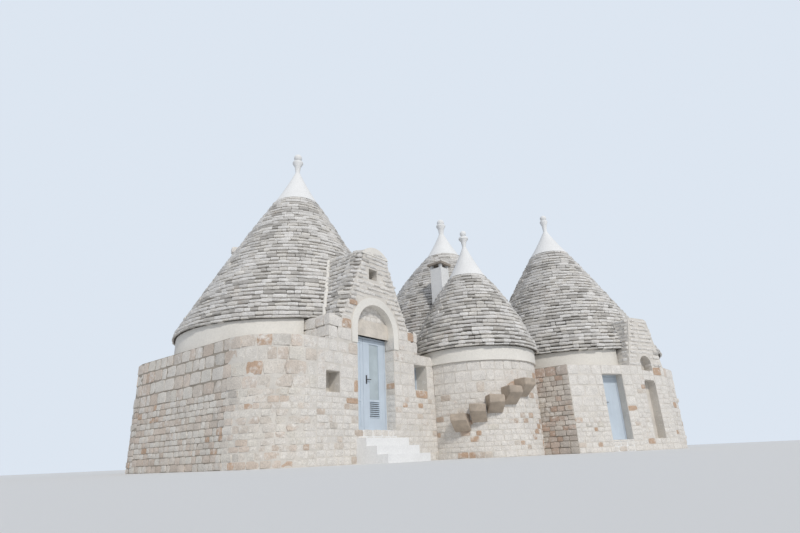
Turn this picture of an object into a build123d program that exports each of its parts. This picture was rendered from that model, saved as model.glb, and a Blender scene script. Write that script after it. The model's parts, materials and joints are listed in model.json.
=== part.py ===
from build123d import *
from math import cos, sin, radians, degrees, atan2, hypot
import os

# A cluster of four dry-stone cones on thick white limestone walls.
# Millimetres, +Z up. X runs along the front of the main house, and -Y is its front.
# The origin is on the ground, on the axis of the main cone.

os.makedirs("parts", exist_ok=True)

# Floors and wall tops above the lowest ground
main_floor_z = 700
right_floor_z = 300
right_floor_thickness = 250
main_wall_top = 2600
small_wall_top = 2380
right_wall_top = 2300
back_wall_top = 3150

# Main house in plan: a rounded square rampart around a round room
main_centre = (0, 0)
main_room_radius = 2150
side_ledge = 170
alley_ledge = 210
front_ledge = 210
rear_set_in = 130
rampart_corner_radius = 1300

# The other three houses in plan
small_centre = (3745, -3675)
small_drum_radius = 1650
small_room_radius = 1000
right_centre = (8330, -4530)
right_drum_radius = 2800
right_room_radius = 2000
back_centre = (7740, -170)
back_room_radius = 1300
back_left = 4700
back_right = 10900
back_front = -2900
back_rear = 3000

# Corners of the right house's flat front walls
door_wall_start = (4600, -6060)
porch_start = (6400, -7180)
porch_end = (7850, -7710)
wing_end = (8740, -7720)
wing_return = (9450, -7100)

# Roofs: radius and height at the eaves, half way up and under the cap
main_roof_form = dict(eaves_r=3130, eaves_z=3200, mid_r=1880, mid_z=5560, cap_r=600, cap_z=7900)
small_roof_form = dict(eaves_r=1800, eaves_z=2740, mid_r=1230, mid_z=4120, cap_r=540, cap_z=5160)
right_roof_form = dict(eaves_r=3030, eaves_z=2830, mid_r=1790, mid_z=5130, cap_r=580, cap_z=7060)
back_roof_form = dict(eaves_r=3150, eaves_z=3700, mid_r=1900, mid_z=6350, cap_r=680, cap_z=8040)
rampart_left = -(main_roof_form["eaves_r"] + side_ledge)
rampart_right = main_roof_form["eaves_r"] + alley_ledge
rampart_front = -(main_roof_form["eaves_r"] + front_ledge)
rampart_back = main_roof_form["eaves_r"] - rear_set_in
roof_crown = 500
dome_bulge = 0.58
eaves_slab = 70
drum_band_setback = 180
small_band_step = 40

# Caps and finials: the neck's height, the ball's top and the radii between them
main_tip = dict(neck_z=8900, top_z=9500, neck_r=68, cup_r=168, ball_r=130, ball_h=256)
small_tip = dict(neck_z=6180, top_z=6690, neck_r=56, cup_r=150, ball_r=98, ball_h=192)
right_tip = dict(neck_z=7950, top_z=8620, neck_r=67, cup_r=142, ball_r=132, ball_h=206)
back_tip = dict(neck_z=9030, top_z=9720, neck_r=98, cup_r=198, ball_r=156, ball_h=244)
cup_rim = 60
cup_lip = 14
ball_stem_share = 0.5
cap_hollow = 0.8

# Courses of the roofs, one ledge for each ring of slabs
course_rise = 120
ledge_clearance = 36

# Main dormer, the tall front that carries the doorway
dormer_axis_x = -270
dormer_half_width = 1550
dormer_top_half_width = 620
dormer_top_z = 5090
dormer_wall = 420
dormer_crest_radius = 350
dormer_shoulder = 200
shoulder_lean = 0.5
dormer_reach = 2500

# Main doorway
door_left = -780
door_right = 500
door_top_z = 2880
leaf_setback = 290
door_step_count = 3
door_step_tread = 300
door_step_overhang = 80
lintel_height = 420
lintel_bearing = 90
lintel_depth = 290
arch_radius = 650
arch_ring = 150
arch_depth = 200
arch_recess = 60
arch_centre_x = -150
arch_spring_z = 3060
reveal_widening = 60

# Small openings in the main front: centre, size and, for the blind one, depth
dormer_window = dict(x=-220, z=4430, w=280, h=240)
left_niche = dict(x=-1545, z=1690, w=400, h=450, depth=350)
right_window = dict(x=1560, z=2020, w=520, h=640)
casement_setback = 350
casement_depth = 50
casement_bar = 40
casement_glass = 6

# Right doorway, measured along its wall from the corner
right_door_start = 1110
right_door_width = 680
right_door_top_z = 2050
right_leaf_setback = 250
right_handle_set_in = 70
right_handle_rise = 1000

# Dormer of the right house and its two arched recesses
right_dormer_top_z = 3750
right_dormer_top_half_width = 400
right_dormer_reach = 1700
right_dormer_crest_radius = 150
recess_width = 500
recess_depth = 250
upper_recess_bottom = 2190
upper_recess_top = 2620
lower_recess_top = 2000

# Door leaves
frame_width = 45
leaf_thickness = 45
leaf_gap = 8
knuckle_radius = 10
knuckle_height = 45
hinge_pin_radius = 5
hinge_play = 0.4
hinge_plate_width = 42
hinge_plate_thickness = 3
hinge_rise = 220
narrow_leaf_width = 420
stile_width = 205
glass_bottom_z = 1410
top_rail = 95
louvre_bottom_z = 990
louvre_top_z = 1360
louvre_count = 8
louvre_thickness = 12
glass_thickness = 8
panel_border = 90
panel_sink = 12
handle_rise = 1170
handle_length = 130
handle_projection = 50
handle_plate_width = 40
handle_plate_height = 200
handle_plate_thickness = 8
keyhole_radius = 6
spindle_radius = 10
lever_thickness = 18

# Flying stair that climbs the small drum
stair_steps = 6
stair_start_angle = -164
stair_end_angle = -106
stair_start_z = 880
stair_end_z = 1880
step_projection = 380
step_height = 170
step_width = 360

# Chimney on the back house
chimney_centre = (5350, -1570)
chimney_side = 470
chimney_flue = 250
chimney_top_z = 6450
chimney_pillar = 90
chimney_pillar_height = 110
chimney_lid = 620
chimney_lid_thickness = 80


def save(solid, name):
    solid.label = name
    export_step(solid, f"parts/{name}.step")


def block(x, y, z, plane=Plane.XY):
    """A box between two values on each axis of a plane."""
    with BuildPart() as piece:
        with BuildSketch(plane.offset(z[0])):
            with Locations(((x[0] + x[1]) / 2, (y[0] + y[1]) / 2)):
                Rectangle(x[1] - x[0], y[1] - y[0])
        extrude(amount=z[1] - z[0])
    return piece.part


def wall_segment(plan, centre, start, end, top, bottom=0, cuts=()):
    """The part of a wall between two directions from the room's centre."""
    reach = 20000
    corners = [centre]
    for angle in (start, (start + end) / 2, end):
        across = centre[0] + reach * cos(radians(angle))
        along = centre[1] + reach * sin(radians(angle))
        corners.append((across, along))
    with BuildPart() as piece:
        with BuildSketch(Plane.XY.offset(bottom)):
            add(plan)
            Polygon(*corners, align=None, mode=Mode.INTERSECT)
        extrude(amount=top - bottom)
        for cut in cuts:
            add(cut, mode=Mode.SUBTRACT)
    return piece.part


def upright_plane(centre):
    """A plane through a house's axis, with X outwards and Y up."""
    return Plane(origin=(centre[0], centre[1], 0), x_dir=(1, 0, 0), z_dir=(0, -1, 0))


def slope_radius(form, z):
    """The roof's radius at a height, on the arc through eaves, middle and cap."""
    x1, y1 = form["eaves_r"], form["eaves_z"] + eaves_slab
    x2, y2 = form["mid_r"], form["mid_z"]
    x3, y3 = form["cap_r"], form["cap_z"]
    twice_area = 2 * (x1 * (y2 - y3) - y1 * (x2 - x3) + x2 * y3 - x3 * y2)
    square1, square2, square3 = x1**2 + y1**2, x2**2 + y2**2, x3**2 + y3**2
    centre_x = (square1 * (y2 - y3) + square2 * (y3 - y1) + square3 * (y1 - y2)) / twice_area
    centre_y = (square1 * (x3 - x2) + square2 * (x1 - x3) + square3 * (x2 - x1)) / twice_area
    arc_radius = hypot(x1 - centre_x, y1 - centre_y)
    across = (arc_radius**2 - (z - centre_y) ** 2) ** 0.5
    return centre_x + across if centre_x < x1 else centre_x - across


def course_line(form):
    """The roof's stepped outer line, one ledge for each course of slabs."""
    points = [(form["eaves_r"], form["eaves_z"]), (form["eaves_r"], form["eaves_z"] + eaves_slab)]
    count = round((form["cap_z"] - points[-1][1]) / course_rise)
    rise = (form["cap_z"] - points[-1][1]) / count
    for number in range(count):
        low = form["eaves_z"] + eaves_slab + number * rise
        radius = slope_radius(form, low + rise / 2)
        points += [(radius, low), (radius, low + rise)]
    return points


def outer_slope(form):
    """The smooth line just outside the ledges, which a neighbour stops at."""
    foot = (form["eaves_r"] + ledge_clearance, form["eaves_z"] + eaves_slab)
    Line((form["eaves_r"] + ledge_clearance, form["eaves_z"]), foot)
    ThreePointArc(
        foot,
        (form["mid_r"] + ledge_clearance, form["mid_z"]),
        (form["cap_r"] + ledge_clearance, form["cap_z"]),
    )


def cone_roof(form, centre, room_radius, cuts=()):
    """A corbelled cone: battered outside, domed inside, flat under the cap."""
    dome_top = form["cap_z"] - roof_crown
    dome_middle = (form["eaves_z"] + dome_top) / 2
    with BuildPart() as roof:
        with BuildSketch(upright_plane(centre)):
            with BuildLine():
                steps = course_line(form)
                Polyline(*steps, (0, form["cap_z"]), (0, dome_top))
                ThreePointArc(
                    (0, dome_top),
                    (room_radius * dome_bulge, dome_middle),
                    (room_radius, form["eaves_z"]),
                )
                Line((room_radius, form["eaves_z"]), (form["eaves_r"], form["eaves_z"]))
            make_face()
        revolve(axis=Axis((centre[0], centre[1], 0), (0, 0, 1)))
        for cut in cuts:
            add(cut, mode=Mode.SUBTRACT)
    return roof.part


def house_envelope(form, centre, drum_radius):
    """Everything inside a house's outer faces, for cutting its neighbours."""
    with BuildPart() as solid:
        with BuildSketch(upright_plane(centre)):
            with BuildLine():
                Line((0, 0), (drum_radius, 0))
                Line((drum_radius, 0), (drum_radius, form["eaves_z"]))
                Line((drum_radius, form["eaves_z"]), (form["eaves_r"] + ledge_clearance, form["eaves_z"]))
                outer_slope(form)
                Line((form["cap_r"] + ledge_clearance, form["cap_z"]), (0, form["cap_z"]))
                Line((0, form["cap_z"]), (0, 0))
            make_face()
        revolve(axis=Axis((centre[0], centre[1], 0), (0, 0, 1)))
    return solid.part


def pinnacle(form, tip, centre):
    """The plastered cap with its waisted neck, cup and ball, turned as one."""
    ball_z = tip["top_z"] - tip["ball_r"]
    cup_z = tip["top_z"] - tip["ball_h"]
    stem_radius = tip["ball_r"] * ball_stem_share
    waist_radius = (tip["neck_r"] + form["cap_r"]) / 2 * cap_hollow
    waist_z = (form["cap_z"] + tip["neck_z"]) / 2
    rim_z = cup_z - cup_rim
    with BuildPart() as cap:
        with BuildSketch(upright_plane(centre)):
            with BuildLine():
                Line((0, form["cap_z"]), (form["cap_r"], form["cap_z"]))
                ThreePointArc(
                    (form["cap_r"], form["cap_z"]),
                    (waist_radius, waist_z),
                    (tip["neck_r"], tip["neck_z"]),
                )
                Line((tip["neck_r"], tip["neck_z"]), (tip["cup_r"], rim_z))
                Line((tip["cup_r"], rim_z), (tip["cup_r"] - cup_lip, cup_z))
                Line((tip["cup_r"] - cup_lip, cup_z), (stem_radius, cup_z))
                Line((stem_radius, cup_z), (stem_radius, ball_z))
                Line((stem_radius, ball_z), (0, ball_z))
                Line((0, ball_z), (0, form["cap_z"]))
            make_face()
        revolve(axis=Axis((centre[0], centre[1], 0), (0, 0, 1)))
        with Locations((centre[0], centre[1], ball_z)):
            Sphere(tip["ball_r"])
    return cap.part


def ring(centre, outer, inner, bottom, top, cuts=()):
    """A round band of wall."""
    with BuildPart() as band:
        with BuildSketch(Plane.XY.offset(bottom)):
            with Locations(centre):
                Circle(outer)
                Circle(inner, mode=Mode.SUBTRACT)
        extrude(amount=top - bottom)
        for cut in cuts:
            add(cut, mode=Mode.SUBTRACT)
    return band.part


def tapered_front(plane, half_width, top_half_width, bottom, top, crest_radius, near, far, shoulder=0):
    """A dormer's body: a tapering front with rounded shoulders, run back from its plane."""
    with BuildPart() as body:
        with BuildSketch(plane.offset(-near)) as face:
            Polygon(
                (-half_width, bottom),
                (half_width, bottom),
                (top_half_width, top),
                (-top_half_width, top),
                align=None,
            )
            crest = sorted(face.vertices(), key=lambda corner: corner.Y)[-2:]
            fillet(crest, crest_radius)
        extrude(amount=-(far - near))
        if shoulder:
            front = body.faces().sort_by(Axis(plane.origin, plane.z_dir))[-1]
            slopes = [edge for edge in front.edges() if edge.length > (top - bottom) / 2]
            uprights = [edge for edge in slopes if abs(edge.tangent_at(0).Z) > shoulder_lean]
            fillet(uprights, shoulder)
    return body.part


def arched_hole(plane, x, width, bottom, top, near, far):
    """A round-headed recess or opening cut into a front."""
    radius = width / 2
    with BuildPart() as hole:
        with BuildSketch(plane.offset(-near)):
            with Locations((x, (bottom + top - radius) / 2)):
                Rectangle(width, top - radius - bottom)
            with Locations((x, top - radius)):
                Circle(radius)
        extrude(amount=-(far - near))
    return hole.part


def hinge_pin(plane, x, y, side, bottom):
    """The half of a hinge on the frame: plate, lower knuckle and its pin."""
    with BuildPart() as pin:
        with BuildSketch(plane.offset(bottom)):
            with Locations((x, y)):
                Circle(knuckle_radius)
            with Locations((x + side * hinge_plate_width / 2, y - knuckle_radius)):
                Rectangle(hinge_plate_width, 2 * hinge_plate_thickness)
        extrude(amount=knuckle_height)
        with BuildSketch(plane.offset(bottom + knuckle_height)):
            with Locations((x, y)):
                Circle(hinge_pin_radius)
        extrude(amount=knuckle_height)
    return pin.part


def hinge_knuckle(plane, x, y, side, bottom):
    """The half of a hinge on the leaf: plate and upper knuckle, turning on the pin."""
    with BuildPart() as knuckle:
        with BuildSketch(plane.offset(bottom + knuckle_height + hinge_play)):
            with Locations((x, y)):
                Circle(knuckle_radius)
            with Locations((x - side * hinge_plate_width / 2, y - knuckle_radius)):
                Rectangle(hinge_plate_width, 2 * hinge_plate_thickness)
            with Locations((x, y)):
                Circle(hinge_pin_radius + hinge_play, mode=Mode.SUBTRACT)
        extrude(amount=knuckle_height)
    return knuckle.part


def lever_handle(plane):
    """A plate with a keyhole, a spindle and a lever, standing on a leaf's face."""
    with BuildPart() as handle:
        with BuildSketch(plane):
            Rectangle(handle_plate_width, handle_plate_height)
            with Locations((0, -handle_plate_height / 3)):
                Circle(keyhole_radius, mode=Mode.SUBTRACT)
        extrude(amount=handle_plate_thickness)
        with BuildSketch(plane):
            Circle(spindle_radius)
        extrude(amount=handle_projection)
        with BuildSketch(plane.offset(handle_projection - lever_thickness)):
            with Locations((handle_length / 2 - spindle_radius, 0)):
                SlotOverall(handle_length, lever_thickness)
        extrude(amount=lever_thickness)
    return handle.part


# Planes of the fronts: X along the wall, Y up, Z outwards
front_plane = Plane(origin=(dormer_axis_x, rampart_front, 0), x_dir=(1, 0, 0), z_dir=(0, -1, 0))


def wall_plane(start, end):
    """A level plane at a wall's first corner, with X along the wall and Y into it."""
    length = hypot(end[0] - start[0], end[1] - start[1])
    along = ((end[0] - start[0]) / length, (end[1] - start[1]) / length, 0)
    return Plane(origin=(start[0], start[1], 0), x_dir=along, z_dir=(0, 0, 1))


door_wall_plane = wall_plane(door_wall_start, porch_start)
porch_level_plane = wall_plane(porch_start, porch_end)
porch_width = hypot(porch_end[0] - porch_start[0], porch_end[1] - porch_start[1])
porch_middle = ((porch_start[0] + porch_end[0]) / 2, (porch_start[1] + porch_end[1]) / 2)
porch_front_plane = Plane(
    origin=(porch_middle[0], porch_middle[1], 0),
    x_dir=porch_level_plane.x_dir,
    z_dir=-porch_level_plane.y_dir,
)

# Envelopes of the houses, which set who gives way where two meet
main_envelope = house_envelope(main_roof_form, main_centre, main_room_radius)
small_envelope = house_envelope(small_roof_form, small_centre, small_drum_radius)
right_envelope = house_envelope(right_roof_form, right_centre, right_drum_radius)

# Doorway spaces cut through the walls
passage_back = -main_room_radius * 0.9
leaf_front = rampart_front + leaf_setback
leaf_back = leaf_front + leaf_thickness
leaf_middle = (leaf_front + leaf_back) / 2
main_passage_outer = block((door_left, door_right), (rampart_front - 10, leaf_back), (0, door_top_z))
main_passage_inner = block(
    (door_left - reveal_widening, door_right + reveal_widening),
    (leaf_back, passage_back),
    (0, door_top_z),
)
right_door_end = right_door_start + right_door_width
right_passage = block(
    (right_door_start, right_door_end), (-10, 2000), (0, right_wall_top + 200), plane=door_wall_plane
)

# Plans of the walls
with BuildSketch() as main_plan:
    with Locations(((rampart_left + rampart_right) / 2, (rampart_front + rampart_back) / 2)):
        Rectangle(rampart_right - rampart_left, rampart_back - rampart_front)
    fillet(main_plan.vertices().group_by(Axis.X)[0], rampart_corner_radius)
    Circle(main_room_radius, mode=Mode.SUBTRACT)
    with Locations(small_centre):
        Circle(small_drum_radius, mode=Mode.SUBTRACT)

with BuildSketch() as small_plan:
    with Locations(small_centre):
        Circle(small_drum_radius)
        Circle(small_room_radius, mode=Mode.SUBTRACT)

with BuildSketch() as right_plan:
    Polygon(
        (door_wall_start[0], small_centre[1] - small_room_radius),
        door_wall_start,
        porch_start,
        porch_end,
        wing_end,
        wing_return,
        right_centre,
        (right_centre[0] - right_drum_radius, back_front),
        (back_left, back_front),
        align=None,
    )
    with Locations(right_centre):
        Circle(right_drum_radius)
        Circle(right_room_radius, mode=Mode.SUBTRACT)
    with Locations(small_centre):
        Circle(small_drum_radius, mode=Mode.SUBTRACT)

with BuildSketch() as back_plan:
    with Locations(((back_left + back_right) / 2, (back_front + back_rear) / 2)):
        Rectangle(back_right - back_left, back_rear - back_front)
    fillet(back_plan.vertices().group_by(Axis.X)[-1], rampart_corner_radius)
    with Locations(back_centre):
        Circle(back_room_radius, mode=Mode.SUBTRACT)
    with Locations(small_centre):
        Circle(small_drum_radius, mode=Mode.SUBTRACT)
    with Locations(right_centre):
        Circle(right_drum_radius, mode=Mode.SUBTRACT)

# Small windows and the blind niche of the main front
dormer_window_hole = block(
    (dormer_window["x"] - dormer_window["w"] / 2, dormer_window["x"] + dormer_window["w"] / 2),
    (rampart_front - 10, -800),
    (dormer_window["z"] - dormer_window["h"] / 2, dormer_window["z"] + dormer_window["h"] / 2),
)
left_niche_hole = block(
    (left_niche["x"] - left_niche["w"] / 2, left_niche["x"] + left_niche["w"] / 2),
    (rampart_front - 10, rampart_front + left_niche["depth"]),
    (left_niche["z"] - left_niche["h"] / 2, left_niche["z"] + left_niche["h"] / 2),
)
right_window_hole = block(
    (right_window["x"] - right_window["w"] / 2, right_window["x"] + right_window["w"] / 2),
    (rampart_front - 10, -main_room_radius * 0.55),
    (right_window["z"] - right_window["h"] / 2, right_window["z"] + right_window["h"] / 2),
)

# Main rampart, in segments round the room
front_cuts = (main_passage_outer, main_passage_inner, left_niche_hole, right_window_hole)
door_axis_angle = degrees(atan2(rampart_front, (door_left + door_right) / 2))
main_segments = dict(
    main_left_wall=(150, 212),
    main_front_left_wall=(212, 360 + door_axis_angle),
    main_front_right_wall=(door_axis_angle, -45),
    main_right_wall=(-45, 35),
    main_back_wall=(35, 150),
)
for name, (start, end) in main_segments.items():
    wall = wall_segment(main_plan.sketch, main_centre, start, end, main_wall_top, cuts=front_cuts)
    save(wall, name)

# Floor of the main room, paved on a fill, and the sill under its doorway
with BuildPart() as main_floor:
    with BuildSketch():
        Circle(main_room_radius)
    extrude(amount=main_floor_z)
    add(main_passage_inner, mode=Mode.SUBTRACT)
save(main_floor.part, "main_floor")

with BuildPart() as main_threshold:
    with BuildSketch():
        with Locations(((door_left + door_right) / 2, (rampart_front + leaf_back) / 2)):
            Rectangle(door_right - door_left, leaf_setback + leaf_thickness)
        inner_middle = (leaf_back + passage_back) / 2
        with Locations(((door_left + door_right) / 2, inner_middle)):
            Rectangle(
                door_right - door_left + 2 * reveal_widening, passage_back - leaf_back
            )
    extrude(amount=main_floor_z)
save(main_threshold.part, "main_threshold")

# Dormer: the front wall with its arch, the lintel and the masonry behind
dormer_whole = tapered_front(
    front_plane,
    dormer_half_width,
    dormer_top_half_width,
    main_wall_top,
    dormer_top_z,
    dormer_crest_radius,
    0,
    dormer_reach,
    dormer_shoulder,
)
dormer_slab = tapered_front(
    front_plane,
    dormer_half_width,
    dormer_top_half_width,
    main_wall_top,
    dormer_top_z,
    dormer_crest_radius,
    0,
    dormer_wall,
    dormer_shoulder,
)
lintel_block = block(
    (door_left - lintel_bearing, door_right + lintel_bearing),
    (rampart_front, rampart_front + lintel_depth),
    (door_top_z, door_top_z + lintel_height),
)
arch_x = arch_centre_x - dormer_axis_x
with BuildPart() as arch_opening:
    with BuildSketch(front_plane.offset(10)):
        with Locations((arch_x, arch_spring_z)):
            Circle(arch_radius)
        with Locations((arch_x, arch_spring_z - arch_radius)):
            Rectangle(2 * arch_radius + 2 * arch_ring, 2 * arch_radius, mode=Mode.SUBTRACT)
    extrude(amount=-(10 + arch_recess))

with BuildPart() as door_arch:
    with BuildSketch(front_plane):
        with Locations((arch_x, arch_spring_z)):
            Circle(arch_radius + arch_ring)
            Circle(arch_radius, mode=Mode.SUBTRACT)
        with Locations((arch_x, arch_spring_z - arch_radius)):
            Rectangle(2 * arch_radius + 4 * arch_ring, 2 * arch_radius, mode=Mode.SUBTRACT)
    extrude(amount=-arch_depth)
    add(lintel_block, mode=Mode.SUBTRACT)
save(door_arch.part, "door_arch")

with BuildPart() as door_lintel:
    add(lintel_block)
save(door_lintel.part, "door_lintel")

with BuildPart() as dormer_front:
    add(dormer_slab)
    add(main_passage_outer, mode=Mode.SUBTRACT)
    add(main_passage_inner, mode=Mode.SUBTRACT)
    add(lintel_block, mode=Mode.SUBTRACT)
    add(door_arch.part, mode=Mode.SUBTRACT)
    add(arch_opening.part, mode=Mode.SUBTRACT)
    add(dormer_window_hole, mode=Mode.SUBTRACT)
save(dormer_front.part, "dormer_front")

with BuildPart() as dormer_body:
    add(dormer_whole)
    add(dormer_slab, mode=Mode.SUBTRACT)
    add(main_envelope, mode=Mode.SUBTRACT)
    add(main_passage_inner, mode=Mode.SUBTRACT)
    add(dormer_window_hole, mode=Mode.SUBTRACT)
save(dormer_body.part, "dormer_body")

# Main drum, roof and pinnacle
main_band_radius = main_roof_form["eaves_r"] - drum_band_setback
main_drum_band = ring(
    main_centre,
    main_band_radius,
    main_room_radius,
    main_wall_top,
    main_roof_form["eaves_z"],
    cuts=(dormer_whole,),
)
save(main_drum_band, "main_drum_band")
main_roof = cone_roof(
    main_roof_form, main_centre, main_room_radius, cuts=(dormer_slab, dormer_window_hole)
)
save(main_roof, "main_roof")
save(pinnacle(main_roof_form, main_tip, main_centre), "main_pinnacle")

# Steps up to the main doorway
step_rise = main_floor_z / (door_step_count + 1)
with BuildPart() as main_door_steps:
    with BuildSketch(Plane.YZ.offset(door_left - door_step_overhang)):
        with BuildLine():
            profile = [(rampart_front, 0)]
            for number in range(door_step_count):
                nose = rampart_front - (door_step_count - number) * door_step_tread
                profile += [(nose, number * step_rise), (nose, (number + 1) * step_rise)]
            profile.append((rampart_front, door_step_count * step_rise))
            Polyline(*profile, close=True)
        make_face()
    extrude(amount=door_right - door_left + 2 * door_step_overhang)
save(main_door_steps.part, "main_door_steps")

# Casement at the back of the small window's splay
casement_front = rampart_front + casement_setback
casement_plane = Plane(
    origin=(right_window["x"], casement_front, right_window["z"]), x_dir=(1, 0, 0), z_dir=(0, -1, 0)
)
pane_width = (right_window["w"] - 3 * casement_bar) / 2
pane_height = right_window["h"] - 2 * casement_bar
with BuildPart() as side_window_casement:
    with BuildSketch(casement_plane):
        Rectangle(right_window["w"], right_window["h"])
        with GridLocations(pane_width + casement_bar, 0, 2, 1):
            Rectangle(pane_width, pane_height, mode=Mode.SUBTRACT)
    extrude(amount=-casement_depth)
save(side_window_casement.part, "side_window_casement")
with BuildPart() as side_window_glass:
    with BuildSketch(casement_plane.offset(-(casement_depth - casement_glass) / 2)):
        with GridLocations(pane_width + casement_bar, 0, 2, 1):
            Rectangle(pane_width, pane_height)
    extrude(amount=-casement_glass)
save(side_window_glass.part, "side_window_glass")

# Doors of the main doorway
opening_left = door_left + frame_width
opening_right = door_right - frame_width
leaf_bottom_z = main_floor_z + leaf_gap
leaf_top_z = door_top_z - frame_width - leaf_gap
hinge_y = leaf_back + knuckle_radius
narrow_hinge = (opening_left + leaf_gap / 2, -1)
wide_hinge = (opening_right - leaf_gap / 2, 1)
main_hinges = (narrow_hinge, wide_hinge)
hinge_heights = (leaf_bottom_z + hinge_rise, leaf_top_z - hinge_rise)
with BuildPart() as main_door_frame:
    with BuildSketch(Plane.XY.offset(main_floor_z)):
        for x in (door_left + frame_width / 2, door_right - frame_width / 2):
            with Locations((x, leaf_middle)):
                Rectangle(frame_width, leaf_thickness)
    extrude(amount=door_top_z - main_floor_z)
    with BuildSketch(Plane.XY.offset(door_top_z - frame_width)):
        with Locations(((door_left + door_right) / 2, leaf_middle)):
            Rectangle(door_right - door_left, leaf_thickness)
    extrude(amount=frame_width)
    for x, side in main_hinges:
        for bottom in hinge_heights:
            add(hinge_pin(Plane.XY, x, hinge_y, side, bottom))
save(main_door_frame.part, "main_door_frame")

narrow_left = opening_left + leaf_gap
narrow_right = narrow_left + narrow_leaf_width
wide_left = narrow_right + leaf_gap
wide_right = opening_right - leaf_gap
glass_left = wide_left + stile_width
glass_right = wide_right - stile_width
glass_top_z = leaf_top_z - top_rail

with BuildPart() as narrow_door_leaf:
    add(block((narrow_left, narrow_right), (leaf_front, leaf_back), (leaf_bottom_z, leaf_top_z)))
    add(
        block(
            (narrow_left + panel_border, narrow_right - panel_border),
            (leaf_front - panel_sink, leaf_front + panel_sink),
            (glass_bottom_z, leaf_top_z - panel_border),
        ),
        mode=Mode.SUBTRACT,
    )
    add(
        block(
            (narrow_left + panel_border, narrow_right - panel_border),
            (leaf_front - panel_sink, leaf_front + panel_sink),
            (leaf_bottom_z + panel_border, louvre_top_z),
        ),
        mode=Mode.SUBTRACT,
    )
    for bottom in hinge_heights:
        add(hinge_knuckle(Plane.XY, narrow_hinge[0], hinge_y, narrow_hinge[1], bottom))
save(narrow_door_leaf.part, "narrow_door_leaf")

with BuildPart() as main_door_leaf:
    add(block((wide_left, wide_right), (leaf_front, leaf_back), (leaf_bottom_z, leaf_top_z)))
    add(
        block((glass_left, glass_right), (leaf_front - 10, leaf_back + 10), (glass_bottom_z, glass_top_z)),
        mode=Mode.SUBTRACT,
    )
    add(
        block(
            (glass_left, glass_right), (leaf_front - 10, leaf_back + 10), (louvre_bottom_z, louvre_top_z)
        ),
        mode=Mode.SUBTRACT,
    )
    louvre_pitch = (louvre_top_z - louvre_bottom_z) / louvre_count
    for number in range(louvre_count):
        slat_z = louvre_bottom_z + (number + 0.5) * louvre_pitch
        slat_plane = Plane(
            origin=((glass_left + glass_right) / 2, (leaf_front + leaf_back) / 2, slat_z),
            x_dir=(1, 0, 0),
            z_dir=(0, 0, 1),
        ).rotated((40, 0, 0))
        with BuildSketch(slat_plane.offset(-louvre_thickness / 2)):
            Rectangle(glass_right - glass_left, leaf_thickness)
        extrude(amount=louvre_thickness)
    for bottom in hinge_heights:
        add(hinge_knuckle(Plane.XY, wide_hinge[0], hinge_y, wide_hinge[1], bottom))
save(main_door_leaf.part, "main_door_leaf")

save(
    block(
        (glass_left, glass_right),
        (leaf_middle - glass_thickness / 2, leaf_middle + glass_thickness / 2),
        (glass_bottom_z, glass_top_z),
    ),
    "main_door_glass",
)

main_handle_plane = Plane(
    origin=(wide_left + stile_width / 2, leaf_front, main_floor_z + handle_rise),
    x_dir=(1, 0, 0),
    z_dir=(0, -1, 0),
)
save(lever_handle(main_handle_plane), "main_door_handle")

# Small house
small_segments = dict(small_drum_front=(-190, -80), small_drum_right=(-80, 30), small_drum_back=(30, 170))
for name, (start, end) in small_segments.items():
    lower = wall_segment(small_plan.sketch, small_centre, start, end, small_wall_top)
    save(lower, name)
save(
    ring(
        small_centre,
        small_drum_radius - small_band_step,
        small_room_radius,
        small_wall_top,
        small_roof_form["eaves_z"],
    ),
    "small_drum_band",
)
save(cone_roof(small_roof_form, small_centre, small_room_radius), "small_roof")
save(pinnacle(small_roof_form, small_tip, small_centre), "small_pinnacle")

# Flying stair: blocks let into the small drum, rising from left to right
with BuildPart() as flying_stair:
    for number in range(stair_steps):
        share = number / (stair_steps - 1)
        angle = stair_start_angle + share * (stair_end_angle - stair_start_angle)
        top = stair_start_z + share * (stair_end_z - stair_start_z)
        with BuildSketch(Plane.XY.offset(top - step_height)):
            with Locations(small_centre):
                with Locations(Location((0, 0), angle)):
                    with Locations((small_drum_radius + step_projection / 2 - 50, 0)):
                        Rectangle(step_projection + 100, step_width)
                Circle(small_drum_radius, mode=Mode.SUBTRACT)
        extrude(amount=step_height)
save(flying_stair.part, "flying_stair")

# Right house: walls, doorway, dormer and roof
corner_angle = 360 + degrees(
    atan2(door_wall_start[1] - right_centre[1], door_wall_start[0] - right_centre[0])
)
far = 3 * right_drum_radius
beyond_door = block((right_door_start, far), (-far, far), (0, far), plane=door_wall_plane)
before_door = block((-far, right_door_end), (-far, far), (0, far), plane=door_wall_plane)
right_segments = dict(
    right_left_wall=(118, corner_angle, right_wall_top, (right_passage,)),
    right_door_wall=(corner_angle, 240, right_wall_top, (beyond_door,)),
    right_porch_wall=(corner_angle, 272, right_wall_top, (before_door,)),
    right_side_wall=(272, 345, right_wall_top, ()),
    right_back_wall=(345, 478, right_wall_top, ()),
)
upper_recess_hole = arched_hole(
    porch_front_plane, 0, recess_width, upper_recess_bottom, upper_recess_top, -10, recess_depth
)
lower_recess_hole = arched_hole(
    porch_front_plane, 0, recess_width, right_floor_z, lower_recess_top, -10, recess_depth
)
for name, (start, end, top, cuts) in right_segments.items():
    wall = wall_segment(
        right_plan.sketch,
        right_centre,
        start,
        end,
        top,
        cuts=(*cuts, upper_recess_hole, lower_recess_hole),
    )
    save(wall, name)

with BuildPart() as right_door_head:
    with BuildSketch(Plane.XY.offset(right_door_top_z)):
        add(right_plan.sketch)
    extrude(amount=right_wall_top - right_door_top_z)
    add(right_passage, mode=Mode.INTERSECT)
save(right_door_head.part, "right_door_head")

with BuildPart() as right_threshold:
    with BuildSketch():
        add(right_plan.sketch)
    extrude(amount=right_floor_z)
    add(right_passage, mode=Mode.INTERSECT)
save(right_threshold.part, "right_threshold")

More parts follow.
